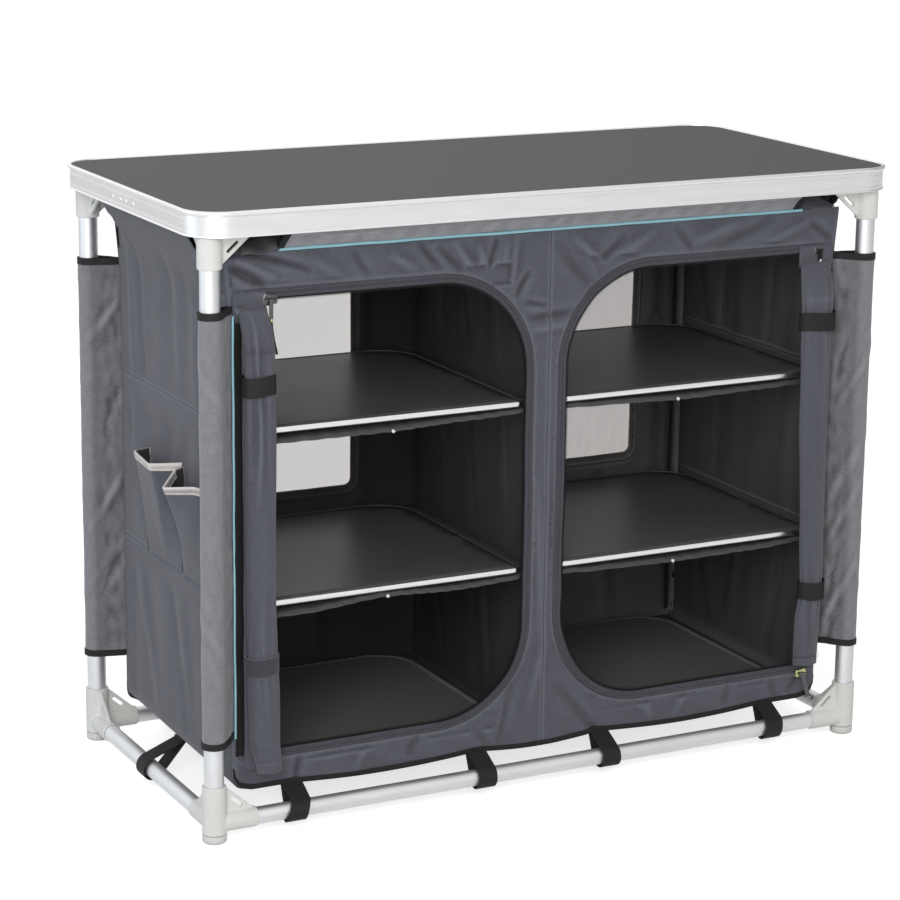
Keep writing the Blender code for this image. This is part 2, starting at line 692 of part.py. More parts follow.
def make_side_panels():
    """The side panels, each with one webbing loop below and a sleeve for its top bar."""
    sleeve_length = 2 * (LEG_Y - BAR_SOCKET_REACH - SIDE_SLEEVE_CLEARANCE)
    bend = CUPBOARD_CORNER_RADIUS
    floor_bottom = FLOOR_TOP - CLOTH
    for name, side in (("left", -1), ("right", 1)):
        middle_x = side * (CUPBOARD_X - CLOTH / 2)
        bend_x = side * (CUPBOARD_X - bend)
        outline = [Vector((middle_x + side * CLOTH / 2, CUPBOARD_TOP))]
        down = range(CORNER_STEPS + 1)
        for radius, steps in ((bend, down), (bend - CLOTH, reversed(down))):
            for step in steps:
                angle = math.radians(90) * step / CORNER_STEPS
                x = bend_x + side * radius * math.cos(angle)
                outline.append(Vector((x, floor_bottom + bend - radius * math.sin(angle))))
        outline.append(Vector((middle_x - side * CLOTH / 2, CUPBOARD_TOP)))
        panel = plate("side_panel_" + name, [outline], 2 * (INNER_Y - GAP), UPRIGHT_XZ)
        middle_radius = bend - CLOTH / 2
        seam = (
            bend_x + side * middle_radius * math.cos(math.radians(45)),
            floor_bottom + bend - middle_radius * math.sin(math.radians(45)),
        )
        loop = wrap_outlines((side * LEG_X, BOTTOM_BAR_HEIGHT), BAR_RADIUS, seam, CLOTH)
        apex = (middle_x, CUPBOARD_TOP - LOOP_OVERLAP)
        sleeve = wrap_outlines((side * LEG_X, TOP_BAR_HEIGHT), BAR_RADIUS, apex, CLOTH)
        joined = [
            plate("side_loop", loop, WEBBING_WIDTH, UPRIGHT_XZ, None, CUTTERS),
            plate("side_sleeve", sleeve, sleeve_length, UPRIGHT_XZ, None, CUTTERS),
        ]
        combine(panel, joined, "UNION").data.materials.append(DARK_CLOTH)


def make_inner_panels():
    """The centre divider, the fabric floor and the sleeve over the front top bar."""
    reach = INNER_Y - GAP
    divider = rectangle(-reach, FLOOR_TOP + GAP, reach, CUPBOARD_TOP, 0)
    plate("centre_divider", [divider], CLOTH, UPRIGHT_YZ, LINING)

    half_width = CUPBOARD_X - CUPBOARD_CORNER_RADIUS - GAP
    floor = rectangle(-half_width, -reach, half_width, reach, 0)
    plate("base_panel", [floor], CLOTH, Matrix.Translation((0, 0, FLOOR_TOP - CLOTH / 2)), LINING)

    apex = (FRONT_MIDDLE, CUPBOARD_TOP + 2 * GAP)
    sleeve = wrap_outlines((-LEG_Y, TOP_BAR_HEIGHT), BAR_RADIUS, apex, CLOTH)
    plate("top_sleeve_front", sleeve, TOP_SLEEVE_WIDTH, UPRIGHT_YZ, LIGHT_CLOTH)


def make_leg_sleeves():
    """Light cloth sleeves round the legs, drawn to the upright corners of the cupboard."""
    low = CUPBOARD_BOTTOM + LEG_SLEEVE_ABOVE_HEM
    high = CUPBOARD_TOP - LEG_SLEEVE_BELOW_TOP
    spot = Matrix.Translation((0, 0, (low + high) / 2))
    for name, side_x, side_y in corners():
        apex = (side_x * (CUPBOARD_X + GAP), side_y * (CUPBOARD_Y + GAP))
        outlines = wrap_outlines((side_x * LEG_X, side_y * LEG_Y), LEG_RADIUS, apex, CLOTH)
        plate("leg_sleeve_" + name, outlines, high - low, spot, LIGHT_CLOTH)


def shelf_outline(side, inset):
    """A shelf board's edge, less an inset: small corners in front and large ones behind."""
    outer_x = INNER_X - SHELF_SIDE_GAP
    low_x, high_x = sorted((side * (SHELF_INNER_GAP + inset), side * (outer_x - inset)))
    reach = SHELF_HALF_DEPTH - inset
    front = SHELF_FRONT_RADIUS - inset
    back = SHELF_BACK_RADIUS - inset
    corners_of_board = [
        (low_x, -reach, front),
        (high_x, -reach, front),
        (high_x, reach, back),
        (low_x, reach, back),
    ]
    return rounded_outline(corners_of_board, SHELF_CORNER_STEPS)


def make_board(name, side, top):
    """One shelf board: a thin core with a taller aluminium edging all round."""
    half = EDGING_HEIGHT / 2
    profile = [
        (-EDGING_WIDTH, -half),
        (-0.2 * EDGING_WIDTH, -half),
        (0, -0.6 * half),
        (0, 0.6 * half),
        (-0.2 * EDGING_WIDTH, half),
        (-EDGING_WIDTH, half),
    ]
    spot = Matrix.Translation((0, 0, top - half))
    board = moulding(name, shelf_outline(side, 0), profile, spot)
    core = shelf_outline(side, EDGING_WIDTH / 2)
    filling = plate(name + "_core", [core], SHELF_CORE, spot, None, CUTTERS)
    combine(board, [filling], "UNION").data.materials.append(LAMINATE)


def make_sling(name, side, top, lobes):
    """A sewn-in fabric shelf: flat under its board, its front hem sagging in lobes."""
    low_x, high_x = sorted((side * (CLOTH / 2 + GAP), side * (INNER_X - GAP)))
    low_y = SLING_FRONT_GAP - INNER_Y
    high_y = INNER_Y - GAP
    last_row = len(SLING_ROW_SHARES) - 1
    tool = bmesh.new()
    bmesh.ops.create_grid(tool, x_segments=SLING_COLUMNS, y_segments=last_row, size=0.5)
    for vert in tool.verts:
        share = vert.co.x + 0.5
        row = SLING_ROW_SHARES[round((vert.co.y + 0.5) * last_row)]
        droop = math.sin(lobes * math.pi * share) ** 2 * max(0, 1 - row / SLING_ROW_SHARES[-2]) ** 2
        x = low_x + share * (high_x - low_x)
        vert.co = (x, low_y + row * (high_y - low_y), -SLING_SAG * droop)
    sling = new_object(name, tool, Matrix.Translation((0, 0, top)), LINING)
    solidify = sling.modifiers.new("cloth", "SOLIDIFY")
    solidify.thickness = CLOTH
    solidify.offset = -1


def make_floor_board(name, side):
    """A cloth-covered stiffener that lies on the fabric floor, with large round corners."""
    outer_x = CUPBOARD_X - CUPBOARD_CORNER_RADIUS - FLOOR_BOARD_MARGIN
    low_x, high_x = sorted((side * SHELF_INNER_GAP, side * outer_x))
    reach = SHELF_HALF_DEPTH
    outline = rectangle(low_x, -reach, high_x, reach, FLOOR_BOARD_RADIUS)
    middle = FLOOR_TOP + GAP + FLOOR_BOARD_THICKNESS / 2
    plate(name, [outline], FLOOR_BOARD_THICKNESS, Matrix.Translation((0, 0, middle)), LINING)


def make_shelves():
    """Two shelves and a floor board in each half, with a sling under each shelf."""
    for half_name, side in (("left", -1), ("right", 1)):
        for level, rise in BOARD_RISES.items():
            top = CUPBOARD_BOTTOM + rise
            sling_top = top - EDGING_HEIGHT - GAP
            make_board(f"shelf_board_{half_name}_{level}", side, top)
            make_sling(f"shelf_sling_{half_name}_{level}", side, sling_top, SLING_LOBES[level])
        make_floor_board("floor_board_" + half_name, side)


def make_rolled_doors():
    """The doors, each rolled up to the side of its doorway and held by two bands."""
    radius = ROLL_WIDTH / 2
    tied = radius - BAND_DRAW_IN
    ends = radius - ROLL_END_DRAW_IN
    top = DOORWAY_TOP - ROLL_BELOW_HEADER
    for name, side in (("left", -1), ("right", 1)):
        low = CUPBOARD_BOTTOM + ROLL_ABOVE_HEM[name]
        stations = [(low, ends), (low + ROLL_END_LENGTH, tied)]
        for height in (CUPBOARD_BOTTOM + BAND_ABOVE_HEM, top - BAND_BELOW_TOP):
            start = height - BAND_WIDTH / 2
            end = height + BAND_WIDTH / 2
            stations += [
                (start - DRAWN_LENGTH, radius),
                (start - BAND_EDGE, tied),
                (start, tied + BAND_THICKNESS),
                (end, tied + BAND_THICKNESS),
                (end + BAND_EDGE, tied),
                (end + DRAWN_LENGTH, radius),
            ]
        stations += [(top - ROLL_END_LENGTH, tied), (top, ends)]
        curve = bpy.data.curves.new("door_roll_" + name, "CURVE")
        curve.dimensions = "3D"
        curve.bevel_depth = 1.0
        curve.bevel_resolution = 3
        curve.use_fill_caps = True
        curve.render_resolution_u = 0
        spline = curve.splines.new("POLY")
        spline.points.add(len(stations) - 1)
        for point, (height, size) in zip(spline.points, stations):
            point.co = (0, 0, height, 1)
            point.radius = size
        curve.materials.append(DARK_CLOTH)
        x = side * (DOORWAY_JAMB + ROLL_JAMB_OVERLAP - radius)
        y = -CUPBOARD_Y - GAP - ROLL_DEPTH / 2
        flatten = Matrix.Diagonal((1, ROLL_DEPTH / ROLL_WIDTH, 1, 1))
        obj = bpy.data.objects.new("door_roll_" + name, curve)
        place(obj, Matrix.Translation((x, y, 0)) @ flatten)


def make_slider(name, spot, up):
    """A zip slider at its place: it grips the doorway's edge and carries a crown in front."""
    body = block("slider", (SLIDER_LENGTH, SLIDER_DEPTH, SLIDER_HEIGHT), spot, None, CUTTERS)
    groove_depth = SLIDER_GRIP + GAP
    groove_size = (2 * SLIDER_LENGTH, CLOTH + 2 * GAP, 2 * groove_depth)
    groove_spot = spot @ Matrix.Translation((0, 0, up * SLIDER_HEIGHT / 2))
    groove = block("groove", groove_size, groove_spot, None, CUTTERS)
    slider = combine(body, [groove], "DIFFERENCE")

    post_depth = CROWN_ROOT + CROWN_BAR_OUT + CROWN_BAR_DIAMETER / 2 + GAP
    post_size = (CROWN_POST, post_depth, CROWN_BAR_DIAMETER + 2 * GAP)
    post_y = -SLIDER_DEPTH / 2 + CROWN_ROOT - post_depth / 2
    bar_spot = spot @ along("X", (0, -SLIDER_DEPTH / 2 - CROWN_BAR_OUT, 0))
    bar_length = CROWN_WIDTH - CROWN_POST
    crown = [rod("crown_bar", CROWN_BAR_DIAMETER / 2, bar_length, bar_spot, None, CUTTERS, 8)]
    for side in (-1, 1):
        post_x = side * (CROWN_WIDTH - CROWN_POST) / 2
        post_spot = spot @ Matrix.Translation((post_x, post_y, 0))
        crown.append(block("crown_post", post_size, post_spot, None, CUTTERS))
    return keep(combine(slider, crown, "UNION"), "zip_slider_" + name, SLIDER_METAL)


def make_pull(name, bar_place, length):
    """A pull that turns on its slider's crown and hangs down, with a rounded end."""
    hole_radius = CROWN_BAR_DIAMETER / 2 + GAP
    inside = CROWN_WIDTH - 2 * CROWN_POST - 2 * GAP
    turned = bar_place @ along("X", (0, 0, 0))
    pull = rod("knuckle", hole_radius + KNUCKLE_WALL, inside, turned, None, CUTTERS, 12)
    half = PULL_WIDTH / 2
    tab = rectangle(-half, -length, half, -hole_radius, PULL_END_RADIUS, 3)
    tab_piece = plate("tab", [tab], PULL_THICKNESS, bar_place @ UPRIGHT_XZ, None, CUTTERS)
    pull = combine(pull, [tab_piece], "UNION")
    hole = rod("hole", hole_radius, 2 * inside, turned, None, CUTTERS, 12)
    keep(combine(pull, [hole], "DIFFERENCE"), "zip_pull_" + name, CORD)


def keep(obj, name, paint):
    """Turn a piece made among the cutters into a named part."""
    obj.name = name
    obj.data.materials.append(paint)
    obj.hide_render = False
    CUTTERS.objects.unlink(obj)
    PARTS.objects.link(obj)


def make_zips():
    """The zip sliders along the doorways' edges, each with its pull."""
    for name, zip_at in ZIPS.items():
        up = 1 if zip_at["edge"] == "top" else -1
        edge_z = DOORWAY_TOP if zip_at["edge"] == "top" else DOORWAY_BOTTOM
        middle_z = edge_z + up * (SLIDER_GRIP - SLIDER_HEIGHT / 2)
        x = zip_at["side"] * (DOORWAY_JAMB - zip_at["from_jamb"])
        make_slider(name, Matrix.Translation((x, FRONT_MIDDLE, middle_z)), up)
        bar_y = FRONT_MIDDLE - SLIDER_DEPTH / 2 - CROWN_BAR_OUT
        make_pull(name, Matrix.Translation((x, bar_y, middle_z)), zip_at["pull"])


def make_pockets():
    """Two bellows pockets on the left side: flat at the bottom seam and gaping at the mouth."""
    face_x = -CUPBOARD_X - GAP
    low = CUPBOARD_BOTTOM + POCKET_ABOVE_HEM
    rear_start = CUPBOARD_Y - POCKET_REAR_INSET
    starts = {"rear": rear_start, "front": rear_start - POCKET_WIDTH - POCKET_GAP}
    for name, start_y in starts.items():
        mouth = POCKET_MOUTH_SHARES[name]
        tool = bmesh.new()
        grid = []
        for rise in POCKET_ROW_SHARES:
            opened = (POCKET_MOUTH - POCKET_FLAT_GAPE) * rise**POCKET_FLARE
            gape = POCKET_FLAT_GAPE + opened
            height = low + POCKET_HEIGHTS[name] * rise
            row = [
                tool.verts.new((face_x - gape * out, start_y - POCKET_WIDTH * run, height))
                for run, out in mouth
            ]
            grid.append(row)
        for lower, upper in zip(grid, grid[1:]):
            for index in range(len(mouth) - 1):
                tool.faces.new((lower[index], lower[index + 1], upper[index + 1], upper[index]))
        tool.faces.new(list(reversed(grid[0])))
        bmesh.ops.recalc_face_normals(tool, faces=tool.faces)
        pocket = new_object("side_pocket_" + name, tool, Matrix.Identity(4), DARK_CLOTH)
        solidify = pocket.modifiers.new("cloth", "SOLIDIFY")
        solidify.thickness = POCKET_CLOTH
        solidify.offset = -1


make_worktop()
make_connectors()
make_frame()
make_front_panel()
make_back_panel()
make_side_panels()
make_inner_panels()
make_leg_sleeves()
make_shelves()
make_rolled_doors()
make_zips()
make_pockets()
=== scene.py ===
"""Camp kitchen unit: an aluminium tube frame, a worktop and a hanging cloth cupboard.

The sections follow the real unit as it is put together, from the feet up to the worktop.
"""

import bisect
from math import acos, atan2, copysign, cos, exp, pi, radians, sin, tan

import bmesh
import bpy
from mathutils import Matrix, Vector, kdtree, noise
from mathutils.geometry import delaunay_2d_cdt


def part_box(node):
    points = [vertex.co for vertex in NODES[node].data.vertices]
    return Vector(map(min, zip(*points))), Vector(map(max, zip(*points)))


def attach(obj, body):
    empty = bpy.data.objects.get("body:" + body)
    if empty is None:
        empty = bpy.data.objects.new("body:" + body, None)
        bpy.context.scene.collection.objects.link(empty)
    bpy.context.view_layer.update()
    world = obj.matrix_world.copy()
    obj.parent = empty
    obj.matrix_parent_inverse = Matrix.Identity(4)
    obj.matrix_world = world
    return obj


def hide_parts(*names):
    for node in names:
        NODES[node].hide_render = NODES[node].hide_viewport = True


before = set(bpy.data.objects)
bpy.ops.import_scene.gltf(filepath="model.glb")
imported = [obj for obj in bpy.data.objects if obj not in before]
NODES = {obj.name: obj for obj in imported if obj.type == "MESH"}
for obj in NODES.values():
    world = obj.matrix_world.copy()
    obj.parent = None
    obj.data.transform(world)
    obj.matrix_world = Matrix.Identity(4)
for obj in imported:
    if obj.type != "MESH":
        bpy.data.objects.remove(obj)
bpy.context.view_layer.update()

# Camera and light. The camera stands left of the middle and above the worktop,
# where the photograph was taken. Two large soft lamps and a pale world light the
# unit evenly, and the white floor keeps only a soft shadow.


class Wire:
    """A shader socket that sums can be written with, each sum adding its Math node."""

    def __init__(self, tree, socket=None):
        self.tree = tree
        self.socket = socket

    def node(self, kind, settings=None, inputs=None, output=0):
        """Any node: its settings (stops are a colour ramp's) come first, then its sockets."""
        made = self.tree.nodes.new(kind)
        for name, value in (settings or {}).items():
            if name == "stops":
                for element, (position, colour) in zip(made.color_ramp.elements, value):
                    element.position = position
                    element.color = (*colour, 1.0)
            else:
                setattr(made, name, value)
        for key, value in (inputs or {}).items():
            if isinstance(value, Wire):
                self.tree.links.new(value.socket, made.inputs[key])
            else:
                made.inputs[key].default_value = value
        return Wire(self.tree, made.outputs[output])

    def sum(self, operation, first, second, clamp=False):
        """One Math node."""
        settings = {"operation": operation, "use_clamp": clamp}
        return self.node("ShaderNodeMath", settings, {0: first, 1: second})

    def __add__(self, other):
        return self.sum("ADD", self, other)

    def __sub__(self, other):
        return self.sum("SUBTRACT", self, other)

    def __rsub__(self, other):
        return self.sum("SUBTRACT", other, self)

    def __mul__(self, other):
        return self.sum("MULTIPLY", self, other)

    def mix(self, first, second):
        """One colour turning into another as this value goes from 0 to 1."""
        wires = {0: self, 6: first, 7: second}
        return self.node("ShaderNodeMix", {"data_type": "RGBA"}, wires, 2)

    def noise(self, place, scale, detail=2.0, roughness=0.5):
        """A noise value from about 0.25 to 0.75 at a place."""
        inputs = {"Vector": place, "Scale": scale, "Detail": detail, "Roughness": roughness}
        return self.node("ShaderNodeTexNoise", None, inputs, "Fac")

    def stretched(self, place, sizes):
        """A place scaled by its own factor along each axis."""
        settings = {"operation": "MULTIPLY"}
        return self.node("ShaderNodeVectorMath", settings, {0: place, 1: sizes}, "Vector")


def new_material(name, colour, roughness, metallic=0.0):
    """A material with its wires and its shader, whose plain values are set here."""
    made = bpy.data.materials.new(name)
    made.use_nodes = True
    shader = made.node_tree.nodes["Principled BSDF"]
    shader.inputs["Base Color"].default_value = (*colour, 1.0)
    shader.inputs["Roughness"].default_value = roughness
    shader.inputs["Metallic"].default_value = metallic
    return made, Wire(made.node_tree), shader


def plug(wire, shader, name):
    """Link a wire to one socket of a shader."""
    wire.tree.links.new(wire.socket, shader.inputs[name])


def bump(wires, shader, height, distance, strength=1.0):
    """Give a shader the relief of a height value."""
    inputs = {"Height": height, "Distance": distance, "Strength": strength}
    plug(wires.node("ShaderNodeBump", None, inputs), shader, "Normal")


CAMERA = {"place": (-1.7255, -3.2544, 1.3334), "turn": -27.372, "tilt": 14.104, "roll": 0.709, "lens": 111.85}
camera_data = bpy.data.cameras.new("camera")
camera_data.lens = CAMERA["lens"]
camera_data.sensor_width = 36.0
camera_data.clip_start = 0.05
camera = bpy.data.objects.new("camera", camera_data)
bpy.context.scene.collection.objects.link(camera)
camera.matrix_world = (
    Matrix.Translation(CAMERA["place"])
    @ Matrix.Rotation(radians(CAMERA["turn"]), 4, "Z")
    @ Matrix.Rotation(radians(90 - CAMERA["tilt"]), 4, "X")
    @ Matrix.Rotation(radians(CAMERA["roll"]), 4, "Z")
)
bpy.context.scene.camera = camera
bpy.context.scene.view_settings.view_transform = "Standard"

world = bpy.data.worlds.new("studio")
world.use_nodes = True
bpy.context.scene.world = world
wires = Wire(world.node_tree)
seen = wires.node("ShaderNodeLightPath", output="Is Camera Ray")
mirrored = wires.node("ShaderNodeLightPath", output="Is Glossy Ray")
through = wires.node("ShaderNodeLightPath", output="Is Transmission Ray")
# Polished metal mirrors a studio that is bright on the left and dark on the right.
STUDIO = {"start": 2.20, "fall": 2.8, "least": 0.06, "ambient": 0.42}
way = wires.node("ShaderNodeTexCoord", output="Generated")
rightward = wires.node("ShaderNodeSeparateXYZ", None, {0: way}, "X")
lit = wires.sum("MINIMUM", STUDIO["start"] - rightward * STUDIO["fall"], 1.0)
studio = wires.sum("MAXIMUM", lit, STUDIO["least"])
shown = wires.sum("MAXIMUM", wires.sum("MAXIMUM", seen, through), mirrored * studio)
background = world.node_tree.nodes["Background"]
background.inputs["Color"].default_value = (1.0, 1.0, 1.0, 1.0)
plug(wires.sum("MAXIMUM", shown, STUDIO["ambient"]), background, "Strength")

for name, place, target, size, power in (
    ("key_lamp", (-2.0, -3.1, 1.9), (0, 0, 0.35), 2.0, 74),
    ("fill_lamp", (2.4, -2.8, 1.4), (0, 0, 0.4), 2.4, 11),
    ("side_lamp", (-3.0, 0.6, 1.2), (0, 0, 0.4), 1.6, 12),
):
    lamp_data = bpy.data.lights.new(name, "AREA")
    lamp_data.size = size
    lamp_data.energy = power
    lamp_data.color = (0.66, 0.82, 1.0) if name == "side_lamp" else (1.0, 1.0, 1.0)
    lamp = bpy.data.objects.new(name, lamp_data)
    lamp.location = place
    lamp.visible_glossy = name != "fill_lamp"
    lamp.rotation_euler = (Vector(target) - Vector(place)).to_track_quat("-Z", "Y").to_euler()
    bpy.context.scene.collection.objects.link(lamp)

floor_mesh = bpy.data.meshes.new("floor")
floor_mesh.from_pydata([(-30, -30, 0), (30, -30, 0), (30, 30, 0), (-30, 30, 0)], [], [(0, 1, 2, 3)])
floor = bpy.data.objects.new("floor", floor_mesh)
floor.location.z = -0.0005
bpy.context.scene.collection.objects.link(floor)
floor_white, wires, shader = new_material("white_floor", (0.82, 0.82, 0.82), 0.9)
seen = wires.node("ShaderNodeLightPath", output="Is Camera Ray")
mirrored = wires.node("ShaderNodeLightPath", output="Is Glossy Ray")
shader.inputs["Specular IOR Level"].default_value = 0.0
shader.inputs["Emission Strength"].default_value = 1.0
glow = wires.sum("MAXIMUM", seen * 0.70, mirrored * 0.30)
plug(glow.mix((0, 0, 0, 1), (1, 1, 1, 1)), shader, "Emission Color")
floor.data.materials.append(floor_white)


# Foot caps. Each is a turned plastic cap with a plug that is pushed into the bottom
# connector, and a dark joint shows between the two.


def finish_piece(piece, finish, body, replaced=()):
    """Link a piece, and say its material, its body and the nodes it stands for."""
    bpy.context.scene.collection.objects.link(piece)
    piece.data.materials.append(finish)
    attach(piece, body)
    if replaced:
        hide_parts(*replaced)
    return piece


# How sharp a fold must be for the fullest painted crease shade or ridge highlight.
CREASE_SHADE_BEND = 60.0


def mark_crease_shade(mesh):
    """Note at every point how far the surface folds in (below 0) or out. The cloth's colour uses it as
    painted shade in the creases and a painted highlight on the ridges.
    """
    runs = [Vector() for _ in mesh.vertices]
    squares = [1e-9] * len(mesh.vertices)
    for edge in mesh.edges:
        first, second = edge.vertices
        run = mesh.vertices[second].co - mesh.vertices[first].co
        runs[first] += run
        runs[second] -= run
        for end in edge.vertices:
            squares[end] += run.length_squared
    bends = [
        -4 * run.dot(vertex.normal) / square for run, vertex, square in zip(runs, mesh.vertices, squares)
    ]
    usual = sum(bends) / len(bends)
    crease_shade_map = mesh.attributes.new("fold", "FLOAT", "POINT")
    crease_shade_map.data.foreach_set("value", [max(-2.0, min((bend - usual) / CREASE_SHADE_BEND, 2.0)) for bend in bends])


def skin(name, rows, form="sheet", sharp=35):
    """A mesh over rows of points, whose UV map measures the surface in metres. A rod's rows
    are closed and its ends capped, and a loop's rows also join up end to end."""
    height = len(rows)
    width = len(rows[0])
    mesh = bpy.data.meshes.new(name)
    faces = []
    across = [0.0]
    for column in range(width):
        step = Vector(rows[0][(column + 1) % width]) - Vector(rows[0][column])
        across.append(across[-1] + step.length)
    along = [0.0]
    for row in range(height):
        step = Vector(rows[(row + 1) % height][0]) - Vector(rows[row][0])
        along.append(along[-1] + step.length)
    places = []
    for row in range(height if form == "loop" else height - 1):
        for column in range(width - 1 if form == "sheet" else width):
            near, far = row * width, (row + 1) % height * width
            after = (column + 1) % width
            faces.append((near + column, near + after, far + after, far + column))
            places += [
                (across[column], along[row]),
                (across[column + 1], along[row]),
                (across[column + 1], along[row + 1]),
                (across[column], along[row + 1]),
            ]
    if form == "rod":
        faces.append(tuple(range(width))[::-1])
        faces.append(tuple(range((height - 1) * width, height * width)))
        places += [(p[0], p[1]) for p in rows[0]][::-1] + [(p[0], p[1]) for p in rows[-1]]
    mesh.from_pydata([tuple(point) for line in rows for point in line], [], faces)
    layer = mesh.uv_layers.new(name="metres")
    for loop, place in zip(layer.uv, places):
        loop.vector = place
    mesh.update()
    tool = bmesh.new()
    tool.from_mesh(mesh)
    if form != "sheet":
        bmesh.ops.recalc_face_normals(tool, faces=tool.faces)
    tool.to_mesh(mesh)
    tool.free()
    mesh.shade_smooth()
    mark_crease_shade(mesh)
    mesh.set_sharp_from_angle(angle=radians(sharp))
    return bpy.data.objects.new(name, mesh)


RIGHT, BACK, UP = Vector((1, 0, 0)), Vector((0, 1, 0)), Vector((0, 0, 1))


def turned(name, profile, centre, axes=(RIGHT, BACK, UP), sides=40, sharp=35):
    """A turned piece: a profile (radius, height) spun round the last of three axes."""
    across, other, out = axes
    turns = [2 * pi * side / sides for side in range(sides)]
    rows = []
    for radius, height in profile:
        middle = Vector(centre) + out * height
        rows.append([middle + (across * cos(turn) + other * sin(turn)) * radius for turn in turns])
    return skin(name, rows, form="rod", sharp=sharp)


def object_place(wires):
    """Where a point is in the unit, for looks that don't follow the surface."""
    return wires.node("ShaderNodeTexCoord", output="Object")


def speckled(name, colour, roughness, metallic, grain, gloss, tones=None, relief=0.0):
    """A hard finish with fine scuffs (scale, detail, roughness), which vary its gloss
    (rate, base) and, where two are given, its tones."""
    made, wires, shader = new_material(name, colour, roughness, metallic)
    scuffs = wires.noise(object_place(wires), *grain)
    plug(scuffs * gloss[0] + gloss[1], shader, "Roughness")
    if tones:
        plug(scuffs.mix(*((*tone, 1) for tone in tones)), shader, "Base Color")
    if relief:
        bump(wires, shader, scuffs, relief, 0.5)
    return made


cap_plastic, wires, shader = new_material("foot_cap_plastic", (0.66, 0.66, 0.63), 0.5)
place = object_place(wires)
scuffs = wires.noise(place, 260, 4, 0.6)
low = wires.node("ShaderNodeSeparateXYZ", None, {0: place}, "Z")
dirt = wires.sum("MULTIPLY", (0.006 - low) * 160, scuffs, clamp=True)
plug(dirt.mix((0.68, 0.68, 0.65, 1), (0.36, 0.35, 0.33, 1)), shader, "Base Color")
plug(scuffs * 0.3 + 0.36, shader, "Roughness")
bump(wires, shader, wires.noise(place, 1400, 2), 0.0001, 0.4)

LEFT_RIGHT, FRONT_BACK = (("left", -1), ("right", 1)), (("front", -1), ("back", 1))
CORNERS = [
    (f"{depth}_{width}", side_x, side_y)
    for depth, side_y in FRONT_BACK
    for width, side_x in LEFT_RIGHT
]
for corner, side_x, side_y in CORNERS:
    low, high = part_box("foot_" + corner)
    middle = (low + high) / 2
    radius = (high.x - low.x) / 2
    profile = [(radius - 0.0030, 0), (radius - 0.0015, 0.0004), (radius - 0.0004, 0.0014), (radius, 0.0032)]
    profile += [(radius, 0.0098), (radius - 0.0004, 0.0104), (radius - 0.0016, 0.0106), (0.0080, 0.0106)]
    profile += [(0.0080, high.z)]
    foot = turned("foot_cap_" + corner, profile, (middle.x, middle.y, 0))
    finish_piece(foot, cap_plastic, "unit", ["foot_" + corner])


# Corner connectors. All eight are one satin nylon moulding: a leg socket, two bar
# sockets, and slotted webs that brace each corner. Fillets soften every joint.


def tool_solid(name, tool, matrix=None):
    """A helper solid for cutting or joining, from a bmesh."""
    mesh = bpy.data.meshes.new(name)
    tool.to_mesh(mesh)
    tool.free()
    made = bpy.data.objects.new(name, mesh)
    made.matrix_world = matrix or Matrix.Identity(4)
    bpy.context.scene.collection.objects.link(made)
    return made


def round_solid(name, radius, start, end, sides=40, end_radius=None):
    """A helper rod or cone between two points."""
    direction = Vector(end) - Vector(start)
    tool = bmesh.new()
    far = radius if end_radius is None else end_radius
    bmesh.ops.create_cone(
        tool, cap_ends=True, segments=sides, radius1=radius, radius2=far, depth=direction.length
    )
    turn = direction.to_track_quat("Z", "Y").to_matrix().to_4x4()
    return tool_solid(name, tool, Matrix.Translation((Vector(start) + Vector(end)) / 2) @ turn)


def prism(name, ring, side):
    """A helper solid: a flat ring set off to both sides, and the wall between the two."""
    tool = bmesh.new()
    for shift in (-1, 1):
        tool.faces.new([tool.verts.new(point + side * shift) for point in ring])
    tool.verts.ensure_lookup_table()
    count = len(ring)
    for index in range(count):
        after = (index + 1) % count
        tool.faces.new([tool.verts[i] for i in (index, after, after + count, index + count)])
    bmesh.ops.recalc_face_normals(tool, faces=tool.faces)
    return tool_solid(name, tool)


def applied(obj):
    """The mesh that an object's modifiers give, in the object's own place."""
    bpy.context.view_layer.update()
    evaluated = obj.evaluated_get(bpy.context.evaluated_depsgraph_get())
    mesh = bpy.data.meshes.new_from_object(evaluated)
    mesh.transform(obj.matrix_world)
    bpy.data.objects.remove(obj)
    return mesh


def joined(base, others, operation):
    """Join helper solids to a base, or cut them out, as a new helper."""
    for other in others:
        boolean = base.modifiers.new("with_" + other.name, "BOOLEAN")
        boolean.operation = operation
        boolean.object = other
    mesh = applied(base)
    for other in others:
        bpy.data.objects.remove(other)
    made = bpy.data.objects.new("joined", mesh)
    bpy.context.scene.collection.objects.link(made)
    return made


SOCKET = {"leg": 0.0155, "bar": 0.0130, "leg_end": 0.049, "bar_end": 0.056, "closed_end": -0.0137}
WEB = {"short": 0.004, "half": 0.0020, "slot_wide": 0.0045, "slot_long": 0.0155, "slot_inset": 0.00675}
body = round_solid("body", SOCKET["leg"], (0, 0, SOCKET["closed_end"]), (0, 0, SOCKET["leg_end"]))
arms = []
web_high, web_far = SOCKET["leg_end"] - WEB["short"], SOCKET["bar_end"] - WEB["short"]
web_corners = ((0, 0), (web_far, 0), (web_far, SOCKET["bar"]), (SOCKET["leg"], web_high), (0, web_high))
for axis in (RIGHT, BACK):
    arms.append(round_solid("arm", SOCKET["bar"], (0, 0, 0), axis * SOCKET["bar_end"]))
    arms.append(prism("web", [axis * x + UP * z for x, z in web_corners], axis.cross(UP) * WEB["half"]))
body = joined(body, arms, "UNION")
remesh = body.modifiers.new("remesh", "REMESH")
remesh.mode = "VOXEL"
remesh.voxel_size = 0.00065
smooth = body.modifiers.new("fillets", "CORRECTIVE_SMOOTH")
smooth.use_only_smooth = True
smooth.iterations = 9
smooth.factor = 0.5
body = bpy.data.objects.new("body", applied(body))
bpy.context.scene.collection.objects.link(body)
